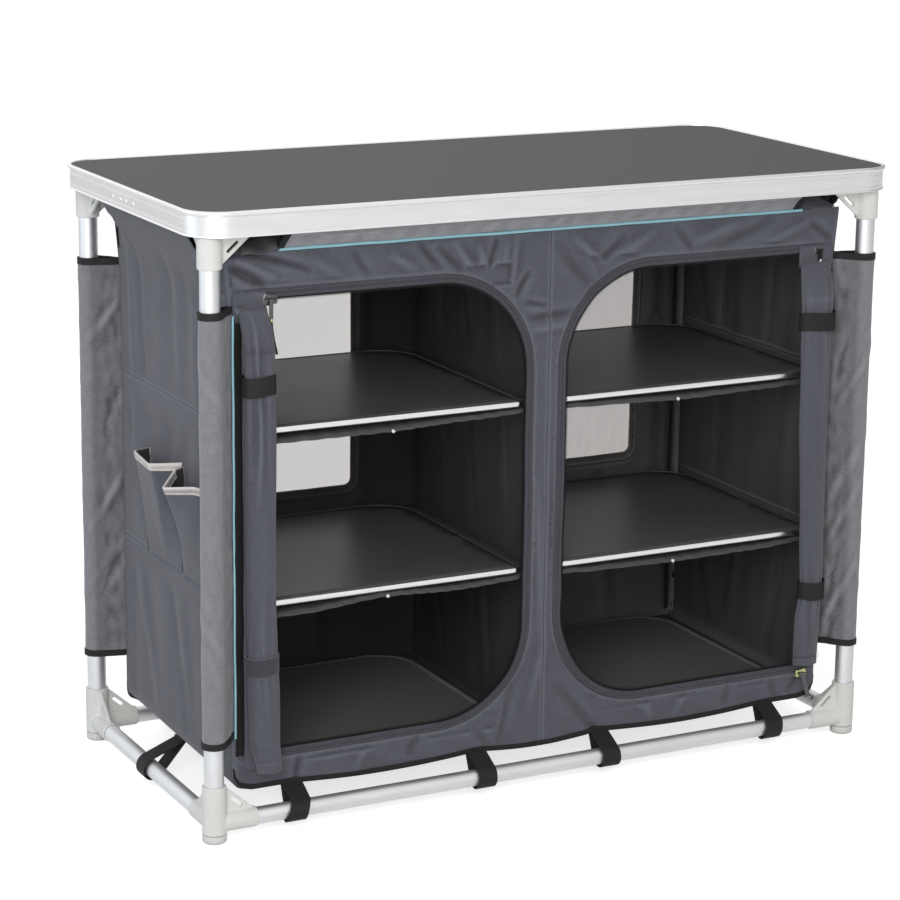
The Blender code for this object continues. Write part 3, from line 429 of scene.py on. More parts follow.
cuts = [
    round_solid("leg_bore", 0.0129, (0, 0, 0.015), (0, 0, 0.060)),
    round_solid("x_bore", 0.0114, (0.018, 0, 0), (0.070, 0, 0)),
    round_solid("y_bore", 0.0114, (0, 0.018, 0), (0, 0.070, 0)),
    round_solid("foot_bore", 0.0084, (0, 0, -0.030), (0, 0, -0.0045)),
]
slope = Vector((SOCKET["leg"] - web_far, web_high - SOCKET["bar"])).normalized()
inward = Vector((-slope.y, slope.x))
slot_middle = Vector((web_far + SOCKET["leg"], SOCKET["bar"] + web_high)) / 2 + inward * WEB["slot_inset"]
slope_angle = atan2(slope.y, slope.x)
for axis in (RIGHT, BACK):
    ring = []
    for end in (1, -1):
        for step in range(9):
            angle = slope_angle + pi * (step / 8 - end / 2)
            spot = slot_middle + slope * WEB["slot_long"] / 2 * end
            spot += Vector((cos(angle), sin(angle))) * WEB["slot_wide"] / 2
            ring.append(axis * spot.x + UP * spot.y)
    cuts.append(prism("slot", ring, axis.cross(UP) * 0.010))
body = joined(body, cuts, "DIFFERENCE")
thin = body.modifiers.new("thin", "DECIMATE")
thin.ratio = 0.16
connector_mesh = applied(body)

nylon, wires, shader = new_material("connector_nylon", (0.86, 0.855, 0.845), 0.42)
place = object_place(wires)
cloud = wires.noise(place, 28, 3, 0.6)
plug(cloud.mix((0.70, 0.70, 0.665, 1), (0.78, 0.78, 0.75, 1)), shader, "Base Color")
rub = wires.noise(place, 420, 4, 0.7)
plug(rub * 0.35 + 0.27, shader, "Roughness")
bump(wires, shader, wires.noise(place, 1700, 2), 0.00012, 0.35)

for level, up in (("bottom", 1), ("top", -1)):
    for corner, side_x, side_y in CORNERS:
        node = f"{level}_connector_{corner}"
        low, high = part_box(node)
        middle = Vector((low.x if side_x < 0 else high.x, low.y if side_y < 0 else high.y, 0))
        middle += Vector((-side_x * SOCKET["leg"], -side_y * SOCKET["leg"], 0))
        middle.z = (low.z if up > 0 else high.z) - up * SOCKET["closed_end"]
        mesh = connector_mesh.copy()
        mesh.transform(Matrix.Diagonal((-side_x, -side_y, up, 1)))
        if side_x * side_y * up < 0:
            mesh.flip_normals()
        mesh.transform(Matrix.Translation(middle))
        mesh.shade_smooth()
        mesh.set_sharp_from_angle(angle=radians(50))
        piece = bpy.data.objects.new(f"corner_{level}_{corner}", mesh)
        finish_piece(piece, nylon, "unit", [node])


# Legs and bars. They are drawn aluminium tubes, satin anodised, pushed into the
# connectors. Fine drawing lines run along each tube.


def metres(wires):
    """The UV map, which measures each surface in metres."""
    return wires.node("ShaderNodeUVMap", {"uv_map": "metres"}, output="UV")


def drawn_aluminium(name, lines, marks, gloss, dark, light):
    """Satin aluminium: fine lines along its length, with smears over them."""
    made, wires, shader = new_material(name, light, 0.34, 1.0)
    flat = metres(wires)
    drawn = wires.noise(wires.stretched(flat, lines), 1.0, 3, 0.6)
    smears = wires.noise(wires.stretched(flat, marks), 1.0, 4, 0.6)
    plug(drawn * gloss[0] + smears * gloss[1] + gloss[2], shader, "Roughness")
    plug(smears.mix((*dark, 1), (*light, 1)), shader, "Base Color")
    bump(wires, shader, drawn, 0.00006, 0.5)
    return made


anodised = drawn_aluminium(
    "anodised_tube", (2600, 14, 1), (60, 12, 1), (0.22, 0.20, 0.28), (0.71, 0.72, 0.735), (0.83, 0.835, 0.84)
)


def tube(name, start, end, radius, wall=0.0012, sides=44):
    """An open tube: its outer wall, its two cut ends and its bore."""
    axis = (Vector(end) - Vector(start)).normalized()
    across = axis.orthogonal().normalized()
    other = axis.cross(across)
    length = (Vector(end) - Vector(start)).length
    rows = []
    bevel = 0.0003
    inner, eased_edge = radius - wall, radius - bevel
    profile = [(inner, 0), (eased_edge, 0), (radius, bevel)]
    profile += [(radius, length - bevel), (eased_edge, length), (inner, length)]
    for size, along in profile:
        rows.append([])
        for side in range(sides):
            angle = 2 * pi * side / sides
            offset = across * cos(angle) + other * sin(angle)
            rows[-1].append(Vector(start) + axis * along + offset * size)
    return skin(name, rows, form="loop")


for node in [n for n in NODES if n.startswith(("leg_front", "leg_back", "bottom_bar", "top_bar"))]:
    low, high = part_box(node)
    middle = (low + high) / 2
    size = high - low
    axis = max(range(3), key=lambda index: size[index])
    start, end = middle.copy(), middle.copy()
    start[axis], end[axis] = low[axis], high[axis]
    radius = 0.0125 if axis == 2 else 0.0110
    piece = tube("tube_" + node, start, end, radius)
    finish_piece(piece, anodised, "unit", [node])


# Side panels. Each is one length of coated polyester cloth, sewn up from three pieces
# with flat seams. Its top is a sleeve over the side bar, and its bottom turns under.


def within(value):
    """A value kept from 0 to 1."""
    return min(1, max(0, value))


def eased(value):
    """A value kept from 0 to 1, with a slow start and a slow end."""
    value = within(value)
    return value * value * (3 - 2 * value)


def drift(*place):
    """A smooth random value for a place, from about -1 to 1."""
    return noise.noise(Vector(place))


def rounded(corners, steps=10):
    """An outline whose corners (x, y, radius) are turned into arcs."""
    points = []
    for index, (x, y, radius) in enumerate(corners):
        spot = Vector((x, y))
        back = (Vector(corners[index - 1][:2]) - spot).normalized()
        ahead = (Vector(corners[(index + 1) % len(corners)][:2]) - spot).normalized()
        if not radius:
            points.append(spot)
            continue
        half = back.angle(ahead) / 2
        centre = spot + (back + ahead).normalized() * radius / sin(half)
        first = spot + back * radius / tan(half) - centre
        sweep = (pi - 2 * half) * (1 if back.cross(ahead) < 0 else -1)
        for step in range(steps + 1):
            points.append(centre + Matrix.Rotation(sweep * step / steps, 2) @ first)
    return points


def divided(line, step, closed=True):
    """A line with long stretches split into even steps."""
    points = []
    for index in range(len(line) if closed else len(line) - 1):
        start, end = line[index], line[(index + 1) % len(line)]
        count = max(1, round((end - start).length / step))
        points += [start.lerp(end, part / count) for part in range(count)]
    return points if closed else points + [line[-1].copy()]


def beside(line, distance, closed=True):
    """A line that keeps one distance to the right of another."""
    moved = []
    last = len(line) - 1
    for index, spot in enumerate(line):
        before = line[index - 1] if index or closed else None
        after = line[(index + 1) % len(line)] if index < last or closed else None
        ways = [(spot - before).normalized()] if before else []
        ways += [(after - spot).normalized()] if after else []
        mean = sum(ways, Vector((0, 0))).normalized()
        moved.append(spot + Vector((mean.y, -mean.x)) * distance / max(0.4, mean.dot(ways[0])))
    return moved


def drop(apex, centre, radius, steps=26):
    """The section of cloth sewn into a sleeve round a tube, from its seam round to its seam."""
    reach = Vector(apex) - Vector(centre)
    half = acos(radius / reach.length)
    heading = atan2(reach.y, reach.x)
    points = [Vector(apex)]
    for step in range(steps + 1):
        angle = heading + half + (2 * pi - 2 * half) * step / steps
        points.append(Vector(centre) + radius * Vector((cos(angle), sin(angle))))
    return points + [Vector(apex)]


def softened(path, index, reach, steps=8):
    """A path whose corner is drawn out into a curve that starts and ends reach away."""
    corner = path[index]
    start = corner + (path[index - 1] - corner).normalized() * reach
    end = corner + (path[index + 1] - corner).normalized() * reach
    curve = [
        start.lerp(corner, step / steps).lerp(corner.lerp(end, step / steps), step / steps)
        for step in range(steps + 1)
    ]
    return path[:index] + curve + path[index + 1 :]


def measured(path):
    """A path with the distance to each of its points."""
    lengths = [0.0]
    for start, end in zip(path, path[1:]):
        lengths.append(lengths[-1] + (end - start).length)
    return path, lengths


def spot_on(road, distance):
    """The place at a distance along a measured path, and the way to its right."""
    path, lengths = road
    index = min(max(bisect.bisect_right(lengths, distance) - 1, 0), len(path) - 2)
    start, end = path[index], path[index + 1]
    share = (distance - lengths[index]) / (lengths[index + 1] - lengths[index])
    way = (end - start).normalized()
    spot = start.lerp(end, share) if 0 <= share <= 1 else start + (end - start) * share
    return spot, Vector((way.y, -way.x))


def creased(u, v, creases):
    """How far soft creases lift the cloth: each is its two ends, half width and height."""
    total = 0.0
    for start_u, start_v, end_u, end_v, width, height in creases:
        run_u, run_v = end_u - start_u, end_v - start_v
        square = run_u * run_u + run_v * run_v
        along = ((u - start_u) * run_u + (v - start_v) * run_v) / square
        if -0.2 < along < 1.2:
            across = ((u - start_u) * run_v - (v - start_v) * run_u) ** 2 / square / (width * width)
            if across < 7:
                total += height * sin(pi * (along + 0.2) / 1.4) * exp(-across)
    return total


def slack(u, v, size, height, seed=0.0):
    """The slow uneven waves of cloth that isn't drawn tight."""
    return drift(u / size, v / size, seed) * height


SEAM_HALF = 0.0013
SEAM_SUNK = 0.0012


def cut_cloth(name, outline, shape, step, gaps=(), seams=(), thickness=0.0011, sides=(0, 1), turns=()):
    """Cloth cut to an outline with gaps, and set in space by shape(u, v), which gives
    a place and the cloth's outward normal. Seams press it in along their lines, and
    turns are lines that it bends along."""
    points, edges, rings, sunk = [], [], [], {}
    for ring in (outline, *gaps):
        start = len(points)
        points += divided(ring, step)
        count = len(points) - start
        edges += [(start + index, start + (index + 1) % count) for index in range(count)]
        rings.append(list(range(start, start + count)))
    for seam in seams:
        for shift, depth in ((-SEAM_HALF, 0.0), (0.0, SEAM_SUNK), (SEAM_HALF, 0.0)):
            for spot in beside(divided(seam, step * 0.8, False), shift, False):
                sunk[len(points)] = depth
                points.append(spot)
    for turn in turns:
        points += divided(turn, step * 0.8, False)
    known = kdtree.KDTree(len(points))
    for index, spot in enumerate(points):
        known.insert((spot.x, spot.y, 0), index)
    known.balance()
    low = Vector((min(p.x for p in outline), min(p.y for p in outline)))
    high = Vector((max(p.x for p in outline), max(p.y for p in outline)))
    for row in range(int((high.y - low.y) / step / 0.866) + 1):
        for column in range(int((high.x - low.x) / step) + 2):
            spot = low + Vector(((column - row % 2 / 2) * step, row * step * 0.866))
            if known.find((spot.x, spot.y, 0))[2] > step * 0.55:
                points.append(spot)
    flat, _, triangles, origins, _, inside = delaunay_2d_cdt(points, edges, rings, 0, 1e-6)
    kept = [face for face, owners in zip(triangles, inside) if list(owners) == [0]]
    used = sorted({index for face in kept for index in face})
    order = {index: place for place, index in enumerate(used)}
    places = []
    for index in used:
        spot, normal = shape(flat[index].x, flat[index].y)
        depth = max((sunk.get(origin, 0.0) for origin in origins[index]), default=0.0)
        places.append(spot - normal * depth)
    mesh = bpy.data.meshes.new(name)
    mesh.from_pydata(places, [], [[order[index] for index in face] for face in kept])
    layer = mesh.uv_layers.new(name="metres")
    for loop, index in zip(layer.uv, (index for face in kept for index in face)):
        loop.vector = flat[index]
    mesh.update()
    spot, normal = shape(flat[kept[0][0]].x, flat[kept[0][0]].y)
    if mesh.polygons[0].normal.dot(normal) < 0:
        mesh.flip_normals()
    mesh.shade_smooth()
    mark_crease_shade(mesh)
    made = bpy.data.objects.new(name, mesh)
    thicken(made, thickness, sides)
    return made


def thicken(piece, thickness, sides=(0, 1)):
    """Give a sheet its thickness. Its two sides may have different finishes."""
    solidify = piece.modifiers.new("thickness", "SOLIDIFY")
    solidify.thickness = thickness
    solidify.offset = -1
    solidify.use_even_offset = False
    solidify.material_offset = sides[1] - sides[0]
    return solidify


def heading(path, index):
    """The way a path runs at one of its places."""
    return (path[min(index + 1, len(path) - 1)] - path[max(index - 1, 0)]).normalized()


def rod_along(name, points, radius, sides=10):
    """A round cord sewn along a line of places."""
    rows = []
    across = None
    for index, spot in enumerate(points):
        way = heading(points, index)
        across = way.orthogonal() if across is None else across - way * across.dot(way)
        across.normalize()
        other = way.cross(across)
        turns = [2 * pi * side / sides for side in range(sides)]
        rows.append([spot + (across * cos(turn) + other * sin(turn)) * radius for turn in turns])
    return skin(name, rows, form="rod", sharp=60)


STITCH = {"pitch": 0.0038, "length": 0.0028, "width": 0.00032, "height": 0.00042}


def stitching(name, seams):
    """Rows of thread: each seam is a list of places with their normals."""
    verts, faces = [], []
    for seam in seams:
        length = 0.0
        travelled = [0.0]
        for (start, _), (end, _) in zip(seam, seam[1:]):
            length += (end - start).length
            travelled.append(length)
        for number in range(int(length / STITCH["pitch"])):
            ends = []
            for distance in (number * STITCH["pitch"], number * STITCH["pitch"] + STITCH["length"]):
                index = min(bisect.bisect_right(travelled, distance) - 1, len(seam) - 2)
                share = (distance - travelled[index]) / (travelled[index + 1] - travelled[index])
                ends.append((seam[index][0].lerp(seam[index + 1][0], share), seam[index][1]))
            (start, normal), (end, _) = ends
            way = (end - start).normalized()
            across = way.cross(normal).normalized() * STITCH["width"]
            lift = normal * STITCH["height"]
            first = len(verts)
            verts.append(start - lift * 0.5)
            for share in (0.2, 0.8):
                middle = start.lerp(end, share)
                verts += [middle + across, middle + lift, middle - across, middle - lift]
            verts.append(end - lift * 0.5)
            for side in range(4):
                near, far = first + 1 + side, first + 1 + (side + 1) % 4
                faces += [(first, far, near), (near, far, far + 4, near + 4), (near + 4, far + 4, first + 9)]
    mesh = bpy.data.meshes.new(name)
    mesh.from_pydata(verts, [], faces)
    mesh.update()
    mesh.shade_smooth()
    return bpy.data.objects.new(name, mesh)


def parted(wires, place):
    """The X and the Y of a place."""
    return [wires.node("ShaderNodeSeparateXYZ", None, {0: place}, axis) for axis in ("X", "Y")]


def woven(name, dark, light, roughness, pitch=0.0010, relief=0.00016, sheen=0.2, crease_shade_weight=0.21, shaded=""):
    """Plain weave: threads that cross in relief, and yarns that differ a little in tone.
    Creases are painted darker and ridges lighter from the fold map (painted shade and highlight).
    A lining may also be painted with light and shade: lighter towards the doorways and darker
    at the back (along Y), or darker on the left of the back and lighter on its right (along X)."""
    made, wires, shader = new_material(name, light, roughness)
    flat = metres(wires)
    warp = wires.noise(wires.stretched(flat, (1500, 70, 1)), 1.0, 3, 0.7)
    weft = wires.noise(wires.stretched(flat, (70, 1500, 1)), 1.0, 3, 0.7)
    faded = wires.noise(flat, 22, 3, 0.6) * 0.5 + wires.noise(flat, 190, 4, 0.75) * 0.9 - 0.2
    yarns = warp + weft
    # Painted shade and highlight: the fold map darkens the creases and lightens the ridges.
    crease_shade_map = wires.node("ShaderNodeAttribute", {"attribute_name": "fold"}, output="Fac")
    tone = wires.sum("ADD", (yarns + faded * 0.5) * 0.61 + crease_shade_map * crease_shade_weight, -0.2625, clamp=True)
    # Both ends of the range are widened so that the painted crease shade and ridge highlight go past the
    # yarns' own tones.
    deep, wear_and_ridge_highlight = (part * 0.45 for part in dark), (part * 1.35 for part in light)
    colour = tone.mix((*deep, 1), (*wear_and_ridge_highlight, 1))
    # Painted light: the lining's colour is scaled up towards the doorways and down at the back (Y), or up on
    # the right half of the back panel (X).
    if shaded:
        spot = object_place(wires)
        far = wires.node("ShaderNodeSeparateXYZ", None, {0: spot}, shaded)
        start, rate, most = (0.5, -2.6, 1.25) if shaded == "Y" else (0.0, 6.0, 2.8)
        painted_light_share = wires.sum("ADD", far * rate, start, clamp=True)
        colour = wires.node(
            "ShaderNodeVectorMath", {"operation": "SCALE"}, {0: colour, "Scale": painted_light_share * painted_light_share * most + 0.5}
        )
    plug(colour, shader, "Base Color")
    parts = parted(wires, flat)
    across, along = (wires.sum("SINE", part * (2 * pi / pitch), 0) for part in parts)
    bump(wires, shader, across * along * 0.5 + yarns * 0.8, relief, 0.8)
    plug(yarns * 0.16 + (roughness - 0.16), shader, "Roughness")
    shader.inputs["Sheen Weight"].default_value = sheen
    shader.inputs["Sheen Roughness"].default_value = 0.5
    return made


cabinet_cloth = woven("cabinet_cloth", (0.072, 0.074, 0.092), (0.104, 0.107, 0.130), 0.88)
# The lining's fold weight sets how strongly the fold map paints shade into its creases and highlight onto its
# ridges.
LINING = {"pitch": 0.0008, "relief": 0.00010, "sheen": 0.05, "crease_shade_weight": 0.38}
LINING_BLACK = ((0.025, 0.025, 0.026), (0.037, 0.037, 0.038), 0.62)
# Painted light and shade on the black lining: lighter towards the doorways, darker towards the back.
black_lining = woven("black_lining", *LINING_BLACK, **LINING, shaded="Y")
dark_reverse = woven("dark_reverse", (0.052, 0.052, 0.053), (0.076, 0.076, 0.077), 0.6, **LINING)
thread = woven("grey_thread", (0.10, 0.10, 0.12), (0.15, 0.15, 0.17), 0.8)

CUPBOARD = {"x": 0.440, "y": 0.189, "top": 0.742, "hem": 0.056, "bend": 0.017, "fold": 0.005}
SIDE_BAR = {"x": 0.4745, "z": 0.7767, "sleeve": 0.0125, "half": 0.1490, "flare_from": 0.690}
SIDE_SEAMS = (0.523, 0.297)
SLING_BELOW = 0.012
SIDE_LOW = 0.061
road = drop((CUPBOARD["x"], SIDE_BAR["flare_from"]), (SIDE_BAR["x"], SIDE_BAR["z"]), SIDE_BAR["sleeve"])
under = []
for step in range(9):
    angle = pi / 2 * (1 - step / 8)
    bend = CUPBOARD["bend"]
    middle = Vector((CUPBOARD["x"] - bend, SIDE_LOW + bend))
    under.append(middle + bend * Vector((cos(angle), -sin(angle))))
side_road = measured(softened(under + road, len(under), 0.034))
UNDER_LENGTH = bend * pi / 2
SIDE_START = SIDE_LOW + bend - UNDER_LENGTH
sleeve_end = SIDE_START + side_road[1][-1] - 0.004
LEAN = {"from_z": 0.650, "high": 0.092, "from_x": 0.395, "wide": 0.045, "most": 0.0078}


def corner_lean(u, v):
    """How far the cupboard's top corners lean out, where the side panels flare."""
    high, out = within((v - LEAN["from_z"]) / LEAN["high"]), within((abs(u) - LEAN["from_x"]) / LEAN["wide"])
    return copysign(LEAN["most"] * high * out**2, u)


def freedom(v):
    """How freely the cupboard's cloth folds at a height: the slings sewn in hold it flat."""
    return eased(min(abs(v - seam + SLING_BELOW) for seam in SIDE_SEAMS) / 0.035)


def side_shape(side, creases, seed):
    """Where a side panel's flat pattern (its depth, its height) lies in the unit."""

    def shape(u, v):
        spot, normal = spot_on(side_road, v - SIDE_START)
        calm = min(1, (CUPBOARD["y"] - CUPBOARD["fold"] - abs(u)) / 0.03)
        calm *= within((v - SIDE_LOW) / 0.03)
        calm *= within((SIDE_BAR["flare_from"] + 0.06 - v) / 0.06)
        calm *= freedom(v)
        lift = creased(u, v, creases) + slack(u, v, 0.14, 0.0035, seed) + slack(u, v, 0.045, 0.0009, seed + 3)
        lift += 0.0007 * sin(u * 92 + seed + 2 * drift(u * 9, v * 3, seed)) * calm
        spot = spot + normal * max(-0.009, min(lift, 0.0045)) * calm
        corner = max(0, abs(u) - SIDE_BAR["half"] + 0.004) / 0.039
        if spot.x > CUPBOARD["x"] and v < CUPBOARD["top"] + 0.001:
            spot.x = CUPBOARD["x"] + (spot.x - CUPBOARD["x"]) * (1 - 0.85 * min(1, corner) ** 0.7)
        sag = 0.0085 * (0.5 - u / (2 * CUPBOARD["y"])) ** 1.3 * (1 - within((v - SIDE_LOW) / 0.14)) ** 2
        lean = 0
        if v < SIDE_BAR["flare_from"]:
            lean = abs(corner_lean(CUPBOARD["x"], v)) * min(1, abs(u) / CUPBOARD["y"]) ** 8
        return Vector((side * (spot.x + lean), u, spot.y - sag)), Vector((side * normal.x, 0, normal.y))

    return shape


half_depth = CUPBOARD["y"] - CUPBOARD["fold"]
tab = SIDE_BAR["half"]
side_outline = [(-half_depth, SIDE_START), (half_depth, SIDE_START), (half_depth, CUPBOARD["top"])]
side_outline += [(tab, CUPBOARD["top"]), (tab, sleeve_end), (-tab, sleeve_end)]
side_outline += [(-tab, CUPBOARD["top"]), (-half_depth, CUPBOARD["top"])]
side_outline = [Vector(spot) for spot in side_outline]
side_creases = {
    "left": [
        (0.118, 0.75, 0.105, 0.53, 0.010, -0.0022),
        (0.150, 0.74, 0.140, 0.40, 0.009, 0.0015),
        (0.010, 0.75, -0.004, 0.54, 0.012, -0.0015),
        (-0.060, 0.75, -0.075, 0.56, 0.011, 0.0013),
        (-0.150, 0.72, -0.140, 0.30, 0.012, -0.0022),
        (0.135, 0.28, 0.060, 0.09, 0.014, 0.0030),
        (0.020, 0.28, -0.030, 0.10, 0.012, -0.0028),
        (-0.100, 0.28, -0.120, 0.12, 0.012, 0.0026),
    ],
    "right": [
        (0.140, 0.720, 0.095, 0.46, 0.016, -0.0060),
        (0.080, 0.735, 0.090, 0.33, 0.010, 0.0046),
        (0.020, 0.740, 0.048, 0.38, 0.018, -0.0065),
        (-0.048, 0.735, -0.030, 0.52, 0.012, 0.0042),
        (-0.115, 0.720, -0.085, 0.34, 0.020, -0.0055),
        (0.130, 0.280, 0.085, 0.10, 0.016, -0.0050),
        (0.010, 0.280, 0.040, 0.12, 0.014, -0.0052),
        (-0.090, 0.280, -0.060, 0.10, 0.016, 0.0045),
    ],
}
side_shapes = {}
for name, side in LEFT_RIGHT:
    shape = side_shape(side, side_creases[name], 4.0 + side)
    side_shapes[name] = shape
    seams = [[Vector((-half_depth, z)), Vector((half_depth, z))] for z in SIDE_SEAMS]
    panel = cut_cloth("side_panel_cloth_" + name, side_outline, shape, 0.0052, seams=seams)
    finish_piece(panel, cabinet_cloth, "unit", ["side_panel_" + name])
    panel.data.materials.append(dark_reverse)
    sleeve_end - SIDE_START
    0.93 * 2 * half_depth * (sleeve_end - SIDE_START)
    rows = []
    for z in SIDE_SEAMS:
        for shift in (-0.0030, 0.0030):
            rows.append([shape(u / 1000 * half_depth * 2, z + shift) for u in range(-490, 491, 7)])
    sewn = stitching("side_panel_stitches_" + name, rows)
    finish_piece(sewn, thread, "unit")

# Back panel. It is one wide cut of the same cloth with two window gaps and a sleeve
# over the back bar. Black webbing loops under its hem hold it to the bottom bar.

BACK_BAR = {"y": 0.2095, "z": 0.7767, "sleeve": 0.0125, "half": 0.3770, "flare_from": 0.716}
WINDOW = {"inner": 0.100, "outer": 0.355, "low": 0.326, "high": 0.640, "seam": 0.012}
# The webbing loops: their places along the hem, and how far each one leans on its bar.
LOOP = {"width": 0.0265, "thick": 0.0020, "overlap": 0.004, "bar_y": 0.2095, "bar_z": 0.025, "round": 0.0118}
LOOP["places"] = (-0.357, -0.093, 0.093, 0.357)
LOOP["leans"] = (-0.0090, -0.0012, 0.0010, -0.0060)


def hem_height(x):
    """The hem of the front or back panel: it hangs a little between its loops."""
    lift = CUPBOARD["hem"] - 0.0030
    for left, right in zip(LOOP["places"], LOOP["places"][1:]):
        if left < x < right:
            lift -= 0.006 * sin(pi * (x - left) / (right - left))
    return lift


def wide_outline(top_points):
    """The outline of the front or back panel, with its round lower corners."""
    wrap = CUPBOARD["fold"] * (pi / 2 - 1)
    far, bend = CUPBOARD["x"] + wrap, CUPBOARD["bend"] + wrap
    middle = Vector((CUPBOARD["x"] - CUPBOARD["bend"], CUPBOARD["hem"] + CUPBOARD["bend"]))
    right = []
    for step in range(13):
        angle = pi / 2 * step / 12
        reach = bend if step == 12 else CUPBOARD["bend"] + wrap * sin(angle)
        right.append(middle + reach * Vector((sin(angle), -cos(angle))))
    left = [Vector((-spot.x, spot.y)) for spot in right[::-1]]
    places = [x / 1000 for x in range(-400, 401, 10)]
    hem = [Vector((x, hem_height(x))) for x in places]
    corners = [Vector((side * far, CUPBOARD["top"])) for side in (1, -1)]
    return left + hem + right + corners[:1] + top_points + corners[1:]


def round_corner(u, v):
    """A wide panel's side edges turn the upright corners: the new u and v, and how far back."""
    inner = CUPBOARD["x"] - CUPBOARD["fold"]
    away = Vector((max(0, abs(u) - inner), 0))
    start = Vector((min(abs(u), inner), v))
    middle = Vector((CUPBOARD["x"] - CUPBOARD["bend"], CUPBOARD["hem"] + CUPBOARD["bend"]))
    if abs(u) > middle.x and v < middle.y:
        spoke = Vector((abs(u), v)) - middle
        sides = spoke.normalized()
        past = spoke.length - (CUPBOARD["bend"] - CUPBOARD["fold"])
        if past <= 0:
            return u, v, 0.0, 0.0
        turn = min(pi / 2, past / CUPBOARD["fold"]) * sides.x**2
        start = middle + sides * (spoke.length - past)
        moved = start + sides * CUPBOARD["fold"] * (
            sin(turn) + (past / CUPBOARD["fold"] - turn) * (1 - sides.x**2)
        )
        return copysign(moved.x, u), moved.y, CUPBOARD["fold"] * (1 - cos(turn)), turn
    turn = min(pi / 2, away.x / CUPBOARD["fold"])
    moved = start.x + CUPBOARD["fold"] * sin(turn)
    return copysign(moved, u), v, CUPBOARD["fold"] * (1 - cos(turn)), turn


def side_turns():
    """The upright lines that a wide panel's side edges bend along."""
    inner, bend = CUPBOARD["x"] - CUPBOARD["fold"], CUPBOARD["fold"] * pi / 2
    reaches = [side * (inner + share * bend) for side in (-1, 1) for share in (0, 0.35, 0.70)]
    return [[Vector((reach, 0.078)), Vector((reach, 0.738))] for reach in reaches]


back_apex = (CUPBOARD["y"], BACK_BAR["flare_from"])
back_sleeve = drop(back_apex, (BACK_BAR["y"], BACK_BAR["z"]), BACK_BAR["sleeve"])
back_road = measured(softened([Vector((CUPBOARD["y"], 0))] + back_sleeve, 1, 0.020))
back_end = back_road[1][-1] - 0.003
back_creases = [
    (-0.230, 0.735, -0.215, 0.650, 0.010, 0.0030),
    (-0.080, 0.735, -0.085, 0.300, 0.010, -0.0030),
    (0.050, 0.740, 0.060, 0.350, 0.011, 0.0034),
    (0.210, 0.735, 0.225, 0.650, 0.010, -0.0028),
    (0.390, 0.720, 0.395, 0.300, 0.012, -0.0040),
    (-0.395, 0.700, -0.390, 0.250, 0.012, 0.0034),
    (-0.300, 0.310, -0.330, 0.090, 0.012, 0.0032),
    (-0.160, 0.315, -0.150, 0.090, 0.012, -0.0030),
    (0.180, 0.315, 0.200, 0.080, 0.012, 0.0034),
    (0.300, 0.310, 0.330, 0.080, 0.012, -0.0034),
    (0.230, 0.325, 0.232, 0.290, 0.006, 0.0022),
    (-0.230, 0.325, -0.226, 0.290, 0.006, 0.0022),
    (0.015, 0.250, 0.010, 0.080, 0.012, -0.0026),
]


def round_oblong(low_x, low_y, high_x, high_y, lower, upper, steps):
    """An outline with four round corners, whose lower and upper two have a radius each."""
    corners = [(low_x, low_y, lower), (high_x, low_y, lower), (high_x, high_y, upper), (low_x, high_y, upper)]
    return rounded(corners, steps)


def back_shape(u, v):
    """Where the back panel's flat pattern lies in the unit."""
    spot, normal = spot_on(back_road, v)
    across, height, deep, turn = round_corner(u, v)
    calm = min(1, (CUPBOARD["x"] + 0.003 - abs(u)) / 0.03) * within((v - 0.046) / 0.02)
    calm *= within((BACK_BAR["flare_from"] + 0.03 - v) / 0.03)
    lift = creased(u, v, back_creases) + slack(u, v, 0.15, 0.0030, 9) + slack(u, v, 0.05, 0.0008, 12)
    if v < BACK_BAR["flare_from"]:
        spot.y = height
    corner = max(0, abs(u) - BACK_BAR["half"]) / (CUPBOARD["x"] - BACK_BAR["half"])
    flare = max(0, spot.x - CUPBOARD["y"]) * (
        1 - 0.85 * min(1, corner) ** 0.6 if v < CUPBOARD["top"] + 0.001 else 1
    )
    y = min(spot.x, CUPBOARD["y"]) + flare - deep + normal.x * max(
        -0.005 * freedom(v), min(lift, 0.0045)
    ) * calm
    facing = Vector((copysign(sin(turn), u), normal.x * cos(turn), normal.y))
    return Vector((across + corner_lean(u, v), y, spot.y)), facing.normalized()


tab, high = BACK_BAR["half"], CUPBOARD["top"]
top_of_back = [Vector((side * tab, z)) for side, z in ((1, high), (1, back_end), (-1, back_end), (-1, high))]
back_outline = wide_outline(top_of_back)
window_gaps = []
for side in (-1, 1):
    low_x, high_x = sorted((side * WINDOW["inner"], side * WINDOW["outer"]))
    window_gaps.append(round_oblong(low_x, WINDOW["low"], high_x, WINDOW["high"], 0.010, 0.010, 6))
seams = [beside(gap + gap[:1], WINDOW["seam"], False) for gap in window_gaps]
back = cut_cloth("back_panel_cloth", back_outline, back_shape, 0.0062, window_gaps, seams, turns=side_turns())
finish_piece(back, cabinet_cloth, "unit", ["back_panel"])
# Painted light on the back lining: darker on the left half, lighter on the right half.
back_lining = woven("back_lining", *LINING_BLACK, **LINING, shaded="X")
back.data.materials.append(back_lining)
wide = 2 * CUPBOARD["x"]
back_end - 0.05
wide * 0.690 + 2 * tab * (back_end - 0.742) - 2 * 0.255 * 0.314
rows = []
for gap in window_gaps:
    for shift in (0.0040, 0.0095):
        line = divided(beside(gap, shift), 0.01)
        rows.append([back_shape(spot.x, spot.y) for spot in line + line[:1]])
finish_piece(stitching("back_panel_stitches", rows), thread, "unit")

